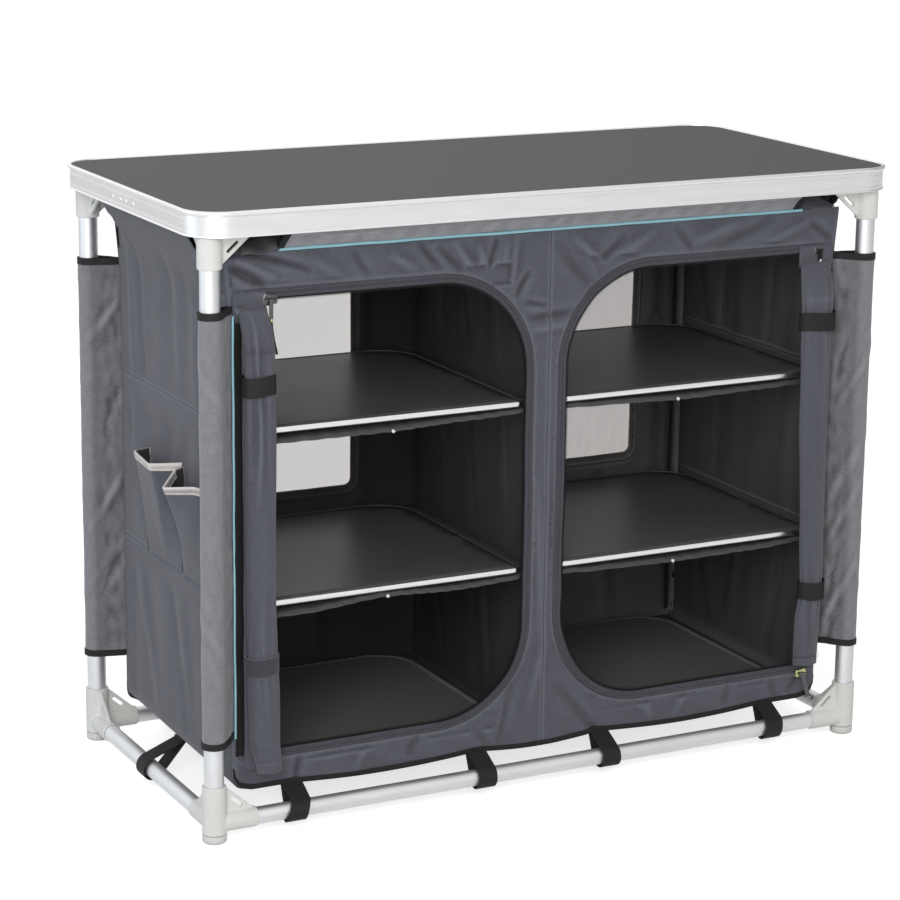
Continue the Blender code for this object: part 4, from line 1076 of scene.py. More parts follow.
webbing, wires, shader = new_material("black_webbing", (0.013, 0.013, 0.013), 0.75)
flat = metres(wires)
parts = parted(wires, flat)
ribs = wires.sum("SINE", parts[0] * 3400, 0) * 0.6 + wires.sum("SINE", parts[1] * 4200, 0) * 0.4
yarns = wires.noise(wires.stretched(flat, (900, 900, 1)), 1.0, 3, 0.6)
bump(wires, shader, ribs * 0.5 + yarns, 0.00022, 0.8)
plug(yarns.mix((0.007, 0.007, 0.008, 1), (0.034, 0.033, 0.034, 1)), shader, "Base Color")
plug(yarns * 0.3 + 0.45, shader, "Roughness")
shader.inputs["Specular IOR Level"].default_value = 0.2


def strap(name, path, across, width, thickness):
    """A webbing strap along a path of places, as wide as said, with its edges turned down."""
    rows = []
    for index, spot in enumerate(path):
        out = across.cross(heading(path, index)).normalized() * thickness
        half = across * width / 2
        row = [spot + half * share - out * 0.12 * share**4 for share in (-1, -0.9, -0.45, 0, 0.45, 0.9, 1)]
        row += [spot + half * share - out for share in (1, 0.9, 0, -0.9, -1)]
        rows.append(row)
    return skin(name, rows, form="rod", sharp=60)


for depth, side_y in FRONT_BACK:
    for number, x in enumerate(LOOP["places"]):
        hem_y, hem_z = CUPBOARD["y"] - 0.0036, CUPBOARD["hem"] + LOOP["overlap"]
        section = drop(
            (hem_y, CUPBOARD["hem"] - 0.004), (LOOP["bar_y"], LOOP["bar_z"]),
            LOOP["round"] + LOOP["thick"] - 0.0004
        )
        section = [Vector((hem_y, hem_z))] + section[::-1] + [Vector((hem_y - LOOP["thick"] - 0.0002, hem_z))]
        lean = LOOP["leans"][number]
        path = [
            Vector((x + lean * sin(pi * index / len(section)), side_y * spot.x, spot.y))
            for index, spot in enumerate(section)
        ]
        path[-2].y -= side_y * (LOOP["thick"] + 0.0002)
        loop = strap(
            f"webbing_loop_{depth}_{number + 1}", path, Vector((-side_y, 0, 0)), LOOP["width"], LOOP["thick"]
        )
        finish_piece(loop, webbing, "unit")
for name, side_x in LEFT_RIGHT:
    section = drop((0.4295, 0.0570), (0.4745, LOOP["bar_z"]), LOOP["round"] + LOOP["thick"] - 0.0004)
    section = [Vector((0.4340, 0.0600))] + section[::-1] + [Vector((0.4180, 0.0580))]
    path = [
        Vector((side_x * spot.x, 0.011 - 0.002 * sin(index / 5), spot.y))
        for index, spot in enumerate(section)
    ]
    loop = strap("webbing_loop_side_" + name, path, Vector((0, side_x, 0)), LOOP["width"], LOOP["thick"])
    finish_piece(loop, webbing, "unit")


# Windows. Each is a piece of fine pale net, sewn over its gap from behind with a
# folded dark tape. It lets the light through, and puckers a little along its bottom.

net, wires, shader = new_material("window_net", (0.54, 0.45, 0.40), 0.7)
flat = metres(wires)
parts = parted(wires, flat)
threads = [wires.sum("SINE", part * (2 * pi / 0.0007), 0) for part in parts]
shaded = wires.sum("MINIMUM", wires.sum("MAXIMUM", parts[0] + 0.05, 0) * 1.2, 0.125)
holes = (threads[0] + threads[1]) * 0.06 + shaded + 0.287
plug(wires.sum("MINIMUM", wires.sum("MAXIMUM", holes, 0.10), 0.60), shader, "Alpha")
cloud = wires.noise(flat, 30, 3, 0.6)
plug(cloud.mix((0.55, 0.40, 0.32, 1), (0.62, 0.47, 0.39, 1)), shader, "Base Color")
bump(wires, shader, threads[0] * threads[1], 0.0001, 0.6)


def net_shape(u, v):
    """A window's net, drawn tight at its top and loose along its bottom."""
    low = within((0.42 - v) / 0.10)
    pucker = 0.0014 * low * sin(u * 420 + 2.2 * drift(u * 30, v * 6, 2))
    edge = min(
        abs(abs(u) - WINDOW["inner"]), abs(abs(u) - WINDOW["outer"]), abs(v - WINDOW["low"]),
        abs(WINDOW["high"] - v)
    )
    inside = WINDOW["inner"] < abs(u) < WINDOW["outer"] and WINDOW["low"] < v < WINDOW["high"]
    lift = slack(u, v, 0.12, 0.0022, 30) + pucker
    spot, normal = back_shape(u, v)
    flat_y = CUPBOARD["y"] + 0.0002 + lift * min(1, edge / 0.03) * inside
    return Vector((spot.x, flat_y if inside else spot.y + 0.0004, v)), Vector((0, 1, 0))


for name, side in LEFT_RIGHT:
    reach, bend = WINDOW["seam"] - 0.003, 0.019
    low_x, high_x = sorted((side * (WINDOW["inner"] - reach), side * (WINDOW["outer"] + reach)))
    low, high = WINDOW["low"] - reach, WINDOW["high"] + reach
    outline = round_oblong(low_x, low, high_x, high, bend, bend, 6)
    gap = window_gaps[0 if side < 0 else 1]
    film = cut_cloth(
        "window_net_" + name, outline, net_shape, 0.0056, seams=[gap + gap[:1]], thickness=0.0004
    )
    finish_piece(film, net, "unit", ["window_" + name])
    high_x - low_x
    high - low
    frame_rows = []
    ring = divided(gap, 0.008)
    for shift, out in ((0.0, 0.0006), (0.0, 0.0019), (0.0065, 0.0024), (0.0110, 0.0019), (0.0110, 0.0006)):
        row = []
        for spot in beside(ring, shift):
            place, _ = back_shape(spot.x, spot.y)
            row.append(Vector((spot.x, place.y + out, spot.y)))
        frame_rows.append(row)
    tape = skin("window_tape_" + name, frame_rows, form="loop", sharp=50)
    finish_piece(tape, webbing, "unit")

# Divider and fabric floor. A double black lining wall parts the two halves, and the
# floor cloth is sewn in below, where the side panels turn under.

DIVIDER = {"half": 0.1866, "low": 0.0665, "high": 0.742, "slings": (0.5112, 0.2882)}
FLOOR_HALF = 0.4262
divider_creases = [
    (0.150, 0.735, 0.125, 0.560, 0.0060, -0.0050),
    (0.135, 0.735, 0.110, 0.560, 0.0090, 0.0050),
    (0.060, 0.740, 0.025, 0.560, 0.0060, -0.0055),
    (0.085, 0.740, 0.045, 0.560, 0.0100, 0.0040),
    (-0.020, 0.735, -0.060, 0.560, 0.011, 0.0052),
    (0.120, 0.490, 0.090, 0.330, 0.010, 0.0050),
    (0.020, 0.490, 0.000, 0.330, 0.010, -0.0050),
    (-0.070, 0.480, -0.080, 0.340, 0.010, 0.0040),
    (0.100, 0.270, 0.090, 0.100, 0.010, -0.0046),
    (-0.020, 0.270, -0.040, 0.100, 0.010, 0.0046),
]


def divider_shape(u, v):
    """Where the divider's flat pattern (depth, height) lies."""
    calm = within((0.187 - abs(u)) / 0.03) * within((v - 0.067) / 0.03)
    lift = slack(u, v, 0.11, 0.0050, 20) + slack(u, v, 0.04, 0.0014, 23) + creased(u, v, divider_creases)
    lift += 0.0016 * sin(u * 75 + 3 * drift(u * 7, v * 4, 5))
    for sling in DIVIDER["slings"]:
        lift *= min(1, abs(v - sling) / 0.03)
    return Vector((0.0006 + max(-0.006, min(lift, 0.006)) * calm, u, v)), Vector((1, 0, 0))


def oblong(low_x, low_y, high_x, high_y):
    """An outline with four square corners."""
    return [Vector(spot) for spot in ((low_x, low_y), (high_x, low_y), (high_x, high_y), (low_x, high_y))]


reach = DIVIDER["half"]
outline = oblong(-reach, DIVIDER["low"], reach, DIVIDER["high"])
divider = cut_cloth("divider_cloth", outline, divider_shape, 0.0048)
finish_piece(divider, black_lining, "unit", ["centre_divider"])
2 * reach


def floor_shape(u, v):
    """The floor cloth, level between the seams of the side panels."""
    calm = within((0.425 - abs(u)) / 0.03) * within((0.186 - abs(v)) / 0.02)
    return Vector((u, v, 0.0648 - abs(slack(u, v, 0.12, 0.0022, 40)) * calm)), Vector((0, 0, 1))


base = cut_cloth("floor_cloth", oblong(-FLOOR_HALF, -reach, FLOOR_HALF, reach), floor_shape, 0.0090)
finish_piece(base, black_lining, "unit", ["base_panel"])
2 * reach

# Corner bindings. Each half's back corner seam is bound with black webbing tape, laid
# over a wider grey edge of the lining.

BOUND = {"x": 0.4200, "y": 0.1800, "low": 0.078, "step": 0.0104, "thick": 0.0016}
for name, side in LEFT_RIGHT:
    for layer, width, out in (("edge", 0.0105, 0.0), ("tape", 0.0068, 0.0006)):
        path = []
        for step in range(61):
            z = BOUND["low"] + step * BOUND["step"]
            x, y = side * BOUND["x"] + 0.0012 * sin(z * 17), BOUND["y"] - out - 0.0008 * sin(z * 23)
            path.append(Vector((x, y, z)))
        bound = strap(f"corner_binding_{layer}_{name}", path, RIGHT, width, BOUND["thick"])
        finish_piece(bound, dark_reverse if layer == "edge" else webbing, "unit")

# Front panel. Two halves of the same cloth meet in a middle seam, round two doorways.
# A folded facing edges each doorway and hides the tape and coil of its zip.

DOORWAY = {"inner": 0.028, "outer": 0.425, "low": 0.100, "high": 0.684, "arch": 0.125}
front_creases = [
    (-0.076, 0.731, -0.088, 0.690, 0.0057, -0.0046),
    (-0.048, 0.731, -0.056, 0.680, 0.0069, 0.0040),
    (-0.060, 0.728, -0.070, 0.680, 0.0057, 0.0030),
    (-0.029, 0.686, -0.045, 0.660, 0.0052, -0.0040),
    (-0.100, 0.724, -0.092, 0.690, 0.0057, 0.0033),
    (-0.032, 0.649, -0.002, 0.642, 0.0046, -0.0027),
    (-0.026, 0.628, 0.034, 0.631, 0.0069, -0.0038),
    (-0.022, 0.612, 0.030, 0.616, 0.0057, 0.0027),
    (0.016, 0.716, 0.064, 0.664, 0.0115, -0.0049),
    (0.040, 0.726, 0.080, 0.690, 0.0069, 0.0035),
    (-0.183, 0.733, -0.156, 0.704, 0.0069, -0.0038),
    (-0.222, 0.722, -0.190, 0.703, 0.0069, 0.0033),
    (-0.155, 0.727, -0.126, 0.697, 0.0069, -0.0035),
    (-0.135, 0.732, -0.112, 0.699, 0.0057, 0.0033),
    (-0.438, 0.7235, -0.398, 0.6975, 0.0065, -0.0090),
    (-0.430, 0.7280, -0.385, 0.7080, 0.0060, 0.0058),
    (-0.437, 0.7370, -0.396, 0.7360, 0.0040, -0.0058),
    (-0.4345, 0.7200, -0.4350, 0.6700, 0.0030, -0.0038),
    (0.332, 0.728, 0.260, 0.702, 0.0092, -0.0043),
    (0.224, 0.711, 0.282, 0.729, 0.0080, 0.0038),
    (0.103, 0.699, 0.152, 0.725, 0.0080, 0.0038),
    (0.074, 0.692, 0.110, 0.722, 0.0080, -0.0038),
    (0.400, 0.724, 0.430, 0.700, 0.0069, -0.0035),
    (0.006, 0.195, -0.016, 0.110, 0.0080, 0.0033),
    (0.028, 0.192, 0.078, 0.125, 0.0092, 0.0040),
    (0.030, 0.120, 0.096, 0.044, 0.0103, -0.0036),
    (-0.044, 0.133, -0.060, 0.068, 0.0080, -0.0029),
    (-0.030, 0.179, -0.062, 0.131, 0.0080, 0.0035),
    (-0.009, 0.390, -0.002, 0.220, 0.0057, 0.0022),
    (0.012, 0.412, 0.017, 0.244, 0.0057, -0.0022),
    (-0.347, 0.096, -0.354, 0.055, 0.0069, -0.0034),
    (-0.176, 0.092, -0.194, 0.066, 0.0080, -0.0028),
    (0.156, 0.090, 0.173, 0.062, 0.0080, 0.0028),
    (0.300, 0.094, 0.290, 0.060, 0.0092, -0.0028),
    (0.420, 0.090, 0.395, 0.066, 0.0080, -0.0034),
    (-0.440, 0.7050, -0.425, 0.6600, 0.0045, 0.0040),
    (-0.432, 0.7290, -0.396, 0.6990, 0.0050, -0.0056),
    (-0.422, 0.7385, -0.368, 0.7230, 0.0055, -0.0050),
    (-0.330, 0.7250, -0.290, 0.7000, 0.0080, 0.0025),
    (-0.390, 0.7330, -0.340, 0.7150, 0.0060, -0.0045),
    (-0.275, 0.7300, -0.255, 0.7010, 0.0069, -0.0025),
    (0.190, 0.7300, 0.215, 0.7000, 0.0069, -0.0026),
    (0.340, 0.7050, 0.400, 0.7250, 0.0069, 0.0029),
    (-0.250, 0.0920, -0.270, 0.0600, 0.0069, 0.0021),
    (-0.100, 0.0920, -0.080, 0.0600, 0.0080, -0.0021),
    (0.230, 0.0930, 0.210, 0.0600, 0.0069, 0.0021),
    (0.360, 0.0930, 0.375, 0.0600, 0.0080, -0.0023),
]


def zip_run(u, v):
    """How near the cloth is to a zip's straight run, which the zip tape keeps flat."""
    away = min(abs(v - DOORWAY["low"] + 0.006), abs(v - DOORWAY["high"] - 0.003))
    past = max(away - 0.011, DOORWAY["inner"] + 0.030 - abs(u))
    return eased(1 - past / 0.012)


def front_shape(u, v):
    """Where the front panel's flat pattern lies in the unit."""
    across, height, deep, turn = round_corner(u, v)
    edges = [CUPBOARD["x"] + 0.003 - abs(u), 0.748 - v, v - 0.044]
    calm = min(1, *(max(0, edge) / 0.012 for edge in edges))
    lift = creased(u, v, front_creases) + slack(u, v, 0.11, 0.0026, 14) + slack(u, v, 0.035, 0.0013, 17)
    highest = 0.0065 - 0.0071 * zip_run(u, v)
    y = -CUPBOARD["y"] - max(-0.0075, min(lift, highest)) * calm + deep
    return Vector((across + corner_lean(u, v), y, height)), Vector((copysign(sin(turn), u), -cos(turn), 0))


doorways = []
for side in (-1, 1):
    low, high, arch = DOORWAY["low"], DOORWAY["high"], DOORWAY["arch"]
    near, far = side * DOORWAY["inner"], side * DOORWAY["outer"]
    ring = [(near, low, arch), (near, high, arch), (far, high, 0.004), (far, low, 0.004)]
    doorways.append(rounded(ring if side < 0 else ring[::-1], 24))
MIDDLE_SEAM, HEAD_SEAM = 0.0035, {"inner": 0.4170, "outer": 0.4350, "z": 0.6938}
front_seams = [[Vector((MIDDLE_SEAM, CUPBOARD["top"])), Vector((MIDDLE_SEAM, 0.050))]]
front_seams += [beside(ring + ring[:1], 0.0098, False) for ring in doorways]
for side in (-1, 1):
    front_seams.append([Vector((side * HEAD_SEAM[end], HEAD_SEAM["z"])) for end in ("inner", "outer")])
front_outline = wide_outline([])
front = cut_cloth(
    "front_panel_cloth", front_outline, front_shape, 0.0046, doorways, front_seams, turns=side_turns()
)
finish_piece(front, cabinet_cloth, "unit", ["front_panel"])
front.data.materials.append(black_lining)

zip_black, wires, shader = new_material("zip_tape", (0.010, 0.010, 0.011), 0.6)
place = object_place(wires)
weave = wires.noise(wires.stretched(place, (1200, 300, 2400)), 1.0, 2, 0.6)
plug(weave.mix((0.004, 0.004, 0.005, 1), (0.015, 0.014, 0.015, 1)), shader, "Base Color")
shader.inputs["Specular IOR Level"].default_value = 0.2
plug(weave * 0.4 + 0.35, shader, "Roughness")
bump(wires, shader, weave, 0.0002, 0.7)

# How far each line of the facing's, the tape's and the coil's section lies from the
# doorway's edge, and how proud.
FACING = (
    (0.0092, 0.0002), (0.0092, 0.0009), (0.0080, 0.0013), (0.0030, 0.0015), (0.0006, 0.0014),
    (-0.0008, 0.0006), (-0.0008, -0.0006), (0.0006, -0.0011)
)
TAPE = ((0.004, -0.0016), (-0.0034, -0.0010), (-0.0034, -0.0016), (0.004, -0.0022))
COIL = {"pitch": 0.0022, "reach": 0.0040, "proud": 0.0013, "long": 0.0011, "wide": 0.0006, "deep": 0.0009}
rows = []
for name, ring in zip(("left", "right"), doorways):
    line = divided(ring, 0.006)
    band_rows = [[] for _ in FACING]
    tape_rows = [[] for _ in TAPE]
    for index, spot in enumerate(line):
        place, normal = front_shape(spot.x, spot.y)
        before, after = line[index - 1], line[(index + 1) % len(line)]
        way = (after - before).normalized()
        out = Vector((way.y, 0, -way.x))
        corner = 1 / max(0.75, way.dot((after - spot).normalized()))
        for lines, section in ((band_rows, FACING), (tape_rows, TAPE)):
            for row, (reach, proud) in zip(lines, section):
                row.append(place + out * reach * corner + normal * proud)
    band = skin("doorway_facing_" + name, band_rows, form="loop", sharp=60)
    finish_piece(band, cabinet_cloth, "unit")
    tape = skin("zip_tape_" + name, tape_rows, form="loop", sharp=50)
    finish_piece(tape, zip_black, "unit")
    verts, faces = [], []
    dense = divided(ring, COIL["pitch"])
    for index, spot in enumerate(dense):
        way = (dense[(index + 1) % len(dense)] - dense[index - 1]).normalized()
        out, run = Vector((way.y, 0, -way.x)), Vector((way.x, 0, way.y))
        depth = front_shape(spot.x, spot.y)[0].y + COIL["proud"]
        middle = Vector((spot.x, depth, spot.y)) - out * COIL["reach"]
        run, deep = run * COIL["wide"], BACK * COIL["deep"]
        first = len(verts)
        for end in (-1, 1):
            spot = middle - out * COIL["long"] * end
            verts += [spot + run, spot - deep, spot - run, spot + deep]
        faces += [(first, first + 3, first + 2, first + 1), (first + 4, first + 5, first + 6, first + 7)]
        for side in range(4):
            after = (side + 1) % 4
            faces.append((first + side, first + after, first + 4 + after, first + 4 + side))
    mesh = bpy.data.meshes.new("zip_coil_" + name)
    mesh.from_pydata(verts, [], faces)
    mesh.update()
    finish_piece(bpy.data.objects.new("zip_coil_" + name, mesh), zip_black, "unit")
    for shift in (0.0020, 0.0074):
        line = divided(beside(ring, shift), 0.006)
        rows.append([])
        for spot in line + line[:1]:
            place, normal = front_shape(spot.x, spot.y)
            rows[-1].append((place + normal * 0.0014, normal))
for x in (0, 2 * MIDDLE_SEAM):
    rows.append([front_shape(x, 0.738 - index * 0.006) for index in range(114)])
finish_piece(stitching("front_panel_stitches", rows), thread, "unit")

# The hem's dark binding, folded over the panel's lower edge, which turns up at both ends.
HEM_START = ((-0.4395, 0.083), (-0.4385, 0.070), (-0.4340, 0.0610), (-0.4240, 0.0552))
for name, shape in (("front", front_shape), ("back", back_shape)):
    binding_rows = []
    start = [Vector(spot) for spot in HEM_START]
    edge = start + [Vector((x / 1000, hem_height(x / 1000))) for x in range(-414, 415, 6)]
    edge += [Vector((-spot.x, spot.y)) for spot in start[::-1]]
    lifted = beside(edge, -0.0062, False)
    for index, (spot, above) in enumerate(zip(edge, lifted)):
        above = spot + (above - spot) * min(1, 0.25 + 0.25 * min(index, len(edge) - 1 - index))
        low_place, low_normal = shape(spot.x, spot.y)
        high_place, high_normal = shape(above.x, above.y)
        down = (low_place - high_place).normalized()
        row = [high_place + high_normal * out for out in (-0.0016, 0.0004)]
        for out, under in ((0.0005, 0.0002), (0, 0.0011), (-0.0018, 0.0002)):
            row.append(low_place + low_normal * out + down * under)
        binding_rows.append(row)
    binding = skin("hem_binding_" + name, binding_rows, form="rod", sharp=60)
    finish_piece(binding, webbing, "unit")


# Top sleeve and piping. A sleeve of the lighter cloth, painted lighter still as painted light in
# the shade under the worktop's rim, carries the front panel on the front bar; blue piping is sewn
# into its seam, and dark tape binds its ends.

sleeve_cloth = woven("sleeve_cloth", (0.142, 0.139, 0.153), (0.232, 0.227, 0.244), 0.9, sheen=0.3)
piping_cord, wires, shader = new_material("blue_piping", (0.22, 0.47, 0.53), 0.6)
place = object_place(wires)
weave = wires.noise(place, 1500, 3, 0.6)
wear_and_ridge_highlight = wires.noise(place, 60, 3, 0.6)
plug((weave * 0.5 + wear_and_ridge_highlight * 0.5).mix((0.20, 0.46, 0.54, 1), (0.42, 0.72, 0.78, 1)), shader, "Base Color")
plug(weave * 0.4 + 0.4, shader, "Roughness")
bump(wires, shader, weave, 0.0002, 0.6)

# Painted light: a brighter copy of the sleeve cloth, which lights up the top sleeve in the shade under the
# rim.
sleeve_cloth_painted_lit = woven("sleeve_cloth_painted_lit", (0.270, 0.266, 0.290), (0.445, 0.437, 0.468), 0.9, sheen=0.3)
TOP_SLEEVE = {"half": 0.3775, "apex": (0.1892, 0.7424), "bar": (0.2095, 0.7767), "round": 0.0126}
top_sleeve_road = measured(drop(TOP_SLEEVE["apex"], TOP_SLEEVE["bar"], TOP_SLEEVE["round"]))


def top_sleeve_shape(u, v):
    """The sleeve's flat pattern: its width, and the way round the bar."""
    spot, normal = spot_on(top_sleeve_road, v)
    calm = min(1, v / 0.012, max(0, top_sleeve_road[1][-1] - v) / 0.012)
    lift = slack(u, v, 0.05, 0.0016, 50) + 0.0005 * sin(u * 190 + 3 * drift(u * 12, 0, 3))
    spot = spot + normal * lift * calm * (0.4 if 0.025 < v < 0.085 else 1.0)
    return Vector((u, -spot.x, spot.y)), Vector((0, -normal.x, normal.y))


road_end = top_sleeve_road[1][-1]
half = TOP_SLEEVE["half"]
top_sleeve = cut_cloth("top_sleeve_cloth", oblong(-half, 0, half, road_end), top_sleeve_shape, 0.0046)
finish_piece(top_sleeve, sleeve_cloth_painted_lit, "unit", ["top_sleeve_front"])


def end_binding(name, ring, inward):
    """Dark tape folded over a sleeve's end: the end's places with normals, and the way in."""
    rows = []
    profile = [(0.0082, 0.0003), (0.0080, 0.0011), (-0.0004, 0.0012), (-0.0012, -0.0005)]
    profile += [(-0.0004, -0.0019), (0.0080, -0.0016), (0.0082, -0.0009)]
    for place, normal in ring:
        rows.append([place + inward * reach + normal * out for reach, out in profile])
    return skin(name, rows, form="rod", sharp=50)


for name, end, inward in (("left", -half, 1), ("right", half, -1)):
    ring = [top_sleeve_shape(end, road_end * step / 60) for step in range(61)]
    piece = end_binding("top_sleeve_binding_" + name, ring, Vector((inward, 0, 0)))
    finish_piece(piece, webbing, "unit")
points = []
for step in range(-94, 97):
    x = step / 250
    place, _ = front_shape(x, 0.7405)
    points.append(place + Vector((0, -0.0011, 0.0008 + 0.0006 * drift(x * 20, 0, 8))))
finish_piece(rod_along("front_piping", points, 0.0020), piping_cord, "unit")

# Where the sleeve ends, black flaps turn back over the cupboard's top corners.
FLAP = {"start": 0.3640, "wide": 0.0755, "foot": 0.7422, "high": 0.0185}
for name, side in LEFT_RIGHT:
    flap_rows = []
    for step in range(15):
        share = step / 14
        x = side * (FLAP["start"] + FLAP["wide"] * share)
        dip = 0.0065 * sin(pi * min(1, share * 1.25)) * (1 if side < 0 else 0.3)
        height = FLAP["high"] * (1 - max(0, share - 0.62) / 0.38 * 0.75) + 0.0018 * drift(x * 60, 1, side)
        row = []
        for rise in range(7):
            up = rise / 6
            lean = 0.0010 + 0.016 * up**1.4 + 0.0016 * sin(7 * share + 3 * up)
            high = FLAP["foot"] - dip + (height + dip) * up
            row.append(Vector((x - side * 0.003 * up, -CUPBOARD["y"] + 0.0006 + lean, high)))
        flap_rows.append(row)
    flap = skin("corner_flap_" + name, flap_rows)
    thicken(flap, 0.0010)
    finish_piece(flap, cabinet_cloth, "unit")

# At the left end a piece of the dark lining is tucked under the bar; its black also stands in for the deep
# shade in that corner.
shade_tuck_rows = []
for step in range(11):
    share = step / 10
    x = -0.4285 + 0.0530 * share
    row = []
    for rise in range(7):
        up = rise / 6
        lean = 0.0150 * up**1.6 + 0.0014 * sin(9 * share + 4 * up)
        high = 0.7375 + 0.0040 * share + (0.0150 + 0.0040 * share) * up
        row.append(Vector((x + 0.004 * up, -CUPBOARD["y"] - 0.0034 + lean, high)))
    shade_tuck_rows.append(row)
shade_tuck = skin("corner_tuck_shade_left", shade_tuck_rows)
thicken(shade_tuck, 0.0010)
finish_piece(shade_tuck, black_lining, "unit")


# Leg sleeves. Long sleeves of the lighter cloth wrap the legs and are sewn into the
# cupboard's upright corners. Dark tape binds both ends, and the left ones are piped.

LEG = {"x": 0.4745, "y": 0.2095, "wrap": 0.0143, "low": 0.120, "high": 0.670}
SLEEVE_RISE = {"front_left": 0.005, "front_right": 0.0105, "back_left": 0.003, "back_right": 0.003}
# Creases: the way round the leg and the height of both ends, half width and height.
SLEEVE_CREASES = {
    "front_left": [
        (0.052, 0.62, 0.100, 0.55, 0.007, 0.0032), (0.060, 0.47, 0.110, 0.40, 0.008, -0.0032),
        (0.055, 0.30, 0.100, 0.24, 0.007, 0.0032)
    ],
    "front_right": [
        (0.070, 0.56, 0.112, 0.48, 0.006, 0.0040), (0.074, 0.38, 0.118, 0.29, 0.006, 0.0044),
        (0.080, 0.20, 0.120, 0.135, 0.006, -0.0044), (0.075, 0.62, 0.118, 0.52, 0.007, -0.0049),
        (0.080, 0.43, 0.122, 0.34, 0.008, 0.0053), (0.078, 0.31, 0.118, 0.21, 0.007, -0.0053),
        (0.084, 0.25, 0.122, 0.17, 0.006, 0.0049)
    ],
    "back_left": [
        (0.004, 0.62, 0.052, 0.56, 0.007, 0.0049), (0.006, 0.50, 0.050, 0.43, 0.008, -0.0049),
        (0.004, 0.38, 0.046, 0.31, 0.007, 0.0049), (0.008, 0.27, 0.052, 0.20, 0.008, -0.0045)
    ],
    "back_right": [(0.020, 0.55, 0.070, 0.48, 0.008, 0.0041), (0.020, 0.33, 0.080, 0.26, 0.008, -0.0041)],
}
leg_road = measured(
    drop((CUPBOARD["x"] - 0.0036, CUPBOARD["y"] - 0.0036), (LEG["x"], LEG["y"]), LEG["wrap"], 34)
)


def leg_sleeve_shape(side_x, side_y, seed, creases):
    """One leg sleeve's flat pattern: the way round the leg, and its height."""

    def shape(u, v):
        spot, normal = spot_on(leg_road, u)
        calm = min(1, u / 0.010, max(0, leg_road[1][-1] - u) / 0.010)
        near = min(u, leg_road[1][-1] - u)
        web = 0.35 + 0.65 * within((0.036 - near) / 0.014)
        lift = slack(u, v, 0.05, 0.0026, seed) + slack(u * 2, v, 0.022, 0.0012, seed + 5)
        lift += creased(u, v, creases)
        lift += 0.0005 * sin(v * 160 + 5 * drift(u * 20, v * 8, seed))
        lift = max(-0.0002 - 0.0080 * max(0, web - 0.35) ** 2, lift + 0.0002)
        spot = spot + normal * lift * calm * web
        out = Vector((side_x * normal.x, side_y * normal.y, 0))
        return Vector((side_x * spot.x, side_y * spot.y, v)), out

    return shape


for number, (corner, side_x, side_y) in enumerate(CORNERS):
    shape = leg_sleeve_shape(side_x, side_y, 60 + 7 * number, SLEEVE_CREASES[corner])
    round_leg = leg_road[1][-1]
    low, high = (LEG[end] + SLEEVE_RISE[corner] for end in ("low", "high"))
    sleeve = cut_cloth("leg_sleeve_cloth_" + corner, oblong(0, low, round_leg, high), shape, 0.0046)
    finish_piece(sleeve, sleeve_cloth, "unit", ["leg_sleeve_" + corner])
    "side_panel_cloth_" + corner.split("_")[1]
    for level, height, inward in (("low", low, 1), ("high", high, -1)):
        ring = [shape(round_leg * step / 60, height) for step in range(61)]
        piece = end_binding(f"leg_sleeve_binding_{corner}_{level}", ring, Vector((0, 0, inward)))
        finish_piece(piece, webbing, "unit")
    if side_x < 0:
        x, y = (0.4372, 0.1908) if side_y < 0 else (CUPBOARD["x"] - 0.0006, CUPBOARD["y"] - 0.0006)
        points = []
        for step in range(136):
            z = LEG["low"] + 0.004 + step * 0.004
            sway = 0.0007 * drift(z * 14, number, 2)
            points.append(Vector((side_x * (x + sway), side_y * y, z)))
        finish_piece(rod_along("leg_piping_" + corner, points, 0.0015), piping_cord, "unit")

# Shelves. Each board is grey laminate in an aluminium edging, bright along its front and painted
# in shade along its sides and back. It lies on a lining sling that is sewn in all round and hangs
# loose along its front hem.

SHELF = {"inner": 0.027, "outer": 0.430, "reach": 0.183, "front": 0.010, "back": 0.060, "edge": 0.0085}
SHELF_TOPS = {"upper": 0.518, "lower": 0.295}
SLING = {"near": 0.0016, "far": 0.4374, "front": -0.1845, "back": 0.1866, "sag": 0.0100}
# Each hem's sag: the shares of its width and of the sag that the cloth takes there.
SLING_HEMS = {
    "left_upper": ((0, 0.5), (0.2, 0.70), (0.48, 0.75), (0.75, 0.36), (1, 0.02)),
    "left_lower": ((0, 0.7), (0.22, 0.80), (0.48, 0.05), (0.72, 0.45), (1, 0.05)),
    "right_upper": ((0, 0.02), (0.25, 0.35), (0.50, 0.62), (0.75, 0.40), (1, 0.06)),
    "right_lower": ((0, 0.02), (0.22, 0.50), (0.48, 0.66), (0.75, 0.56), (1, 0.10)),
}
# The section of the hem's fold: how far back and how far up from the sling's front edge.
SLING_HEM = ((-0.0004, 0.0006), (-0.0012, -0.0004), (-0.0010, -0.0036), (0.0002, -0.0040), (0.0006, -0.0014))
SNAP_PROFILE = (
    (0.0027, 0), (0.0027, 0.0008), (0.0021, 0.0014), (0.0019, 0.0011), (0.0010, 0.0014), (0.0004, 0.0015)
)
SNAPS = {"left_upper": -0.2175, "left_lower": -0.2235, "right_upper": 0.2025, "right_lower": 0.2025}
board_laminate, wires, shader = new_material("board_laminate", (0.040, 0.040, 0.041), 0.3)
place = object_place(wires)
speck = wires.noise(place, 1100, 3, 0.7)
cloud = wires.noise(place, 11, 4, 0.6)
tone = (speck * 0.5 + cloud * 0.5).mix((0.075, 0.072, 0.077, 1), (0.131, 0.125, 0.135, 1))
plug(tone, shader, "Base Color")
plug(speck * 0.16 + cloud * 0.12 + 0.24, shader, "Roughness")
shader.inputs["Specular IOR Level"].default_value = 0.35
bump(wires, shader, speck, 0.00006, 0.35)
bright_edging, wires, shader = new_material("bright_edging", (0.90, 0.90, 0.905), 0.22, 1.0)
flat = metres(wires)
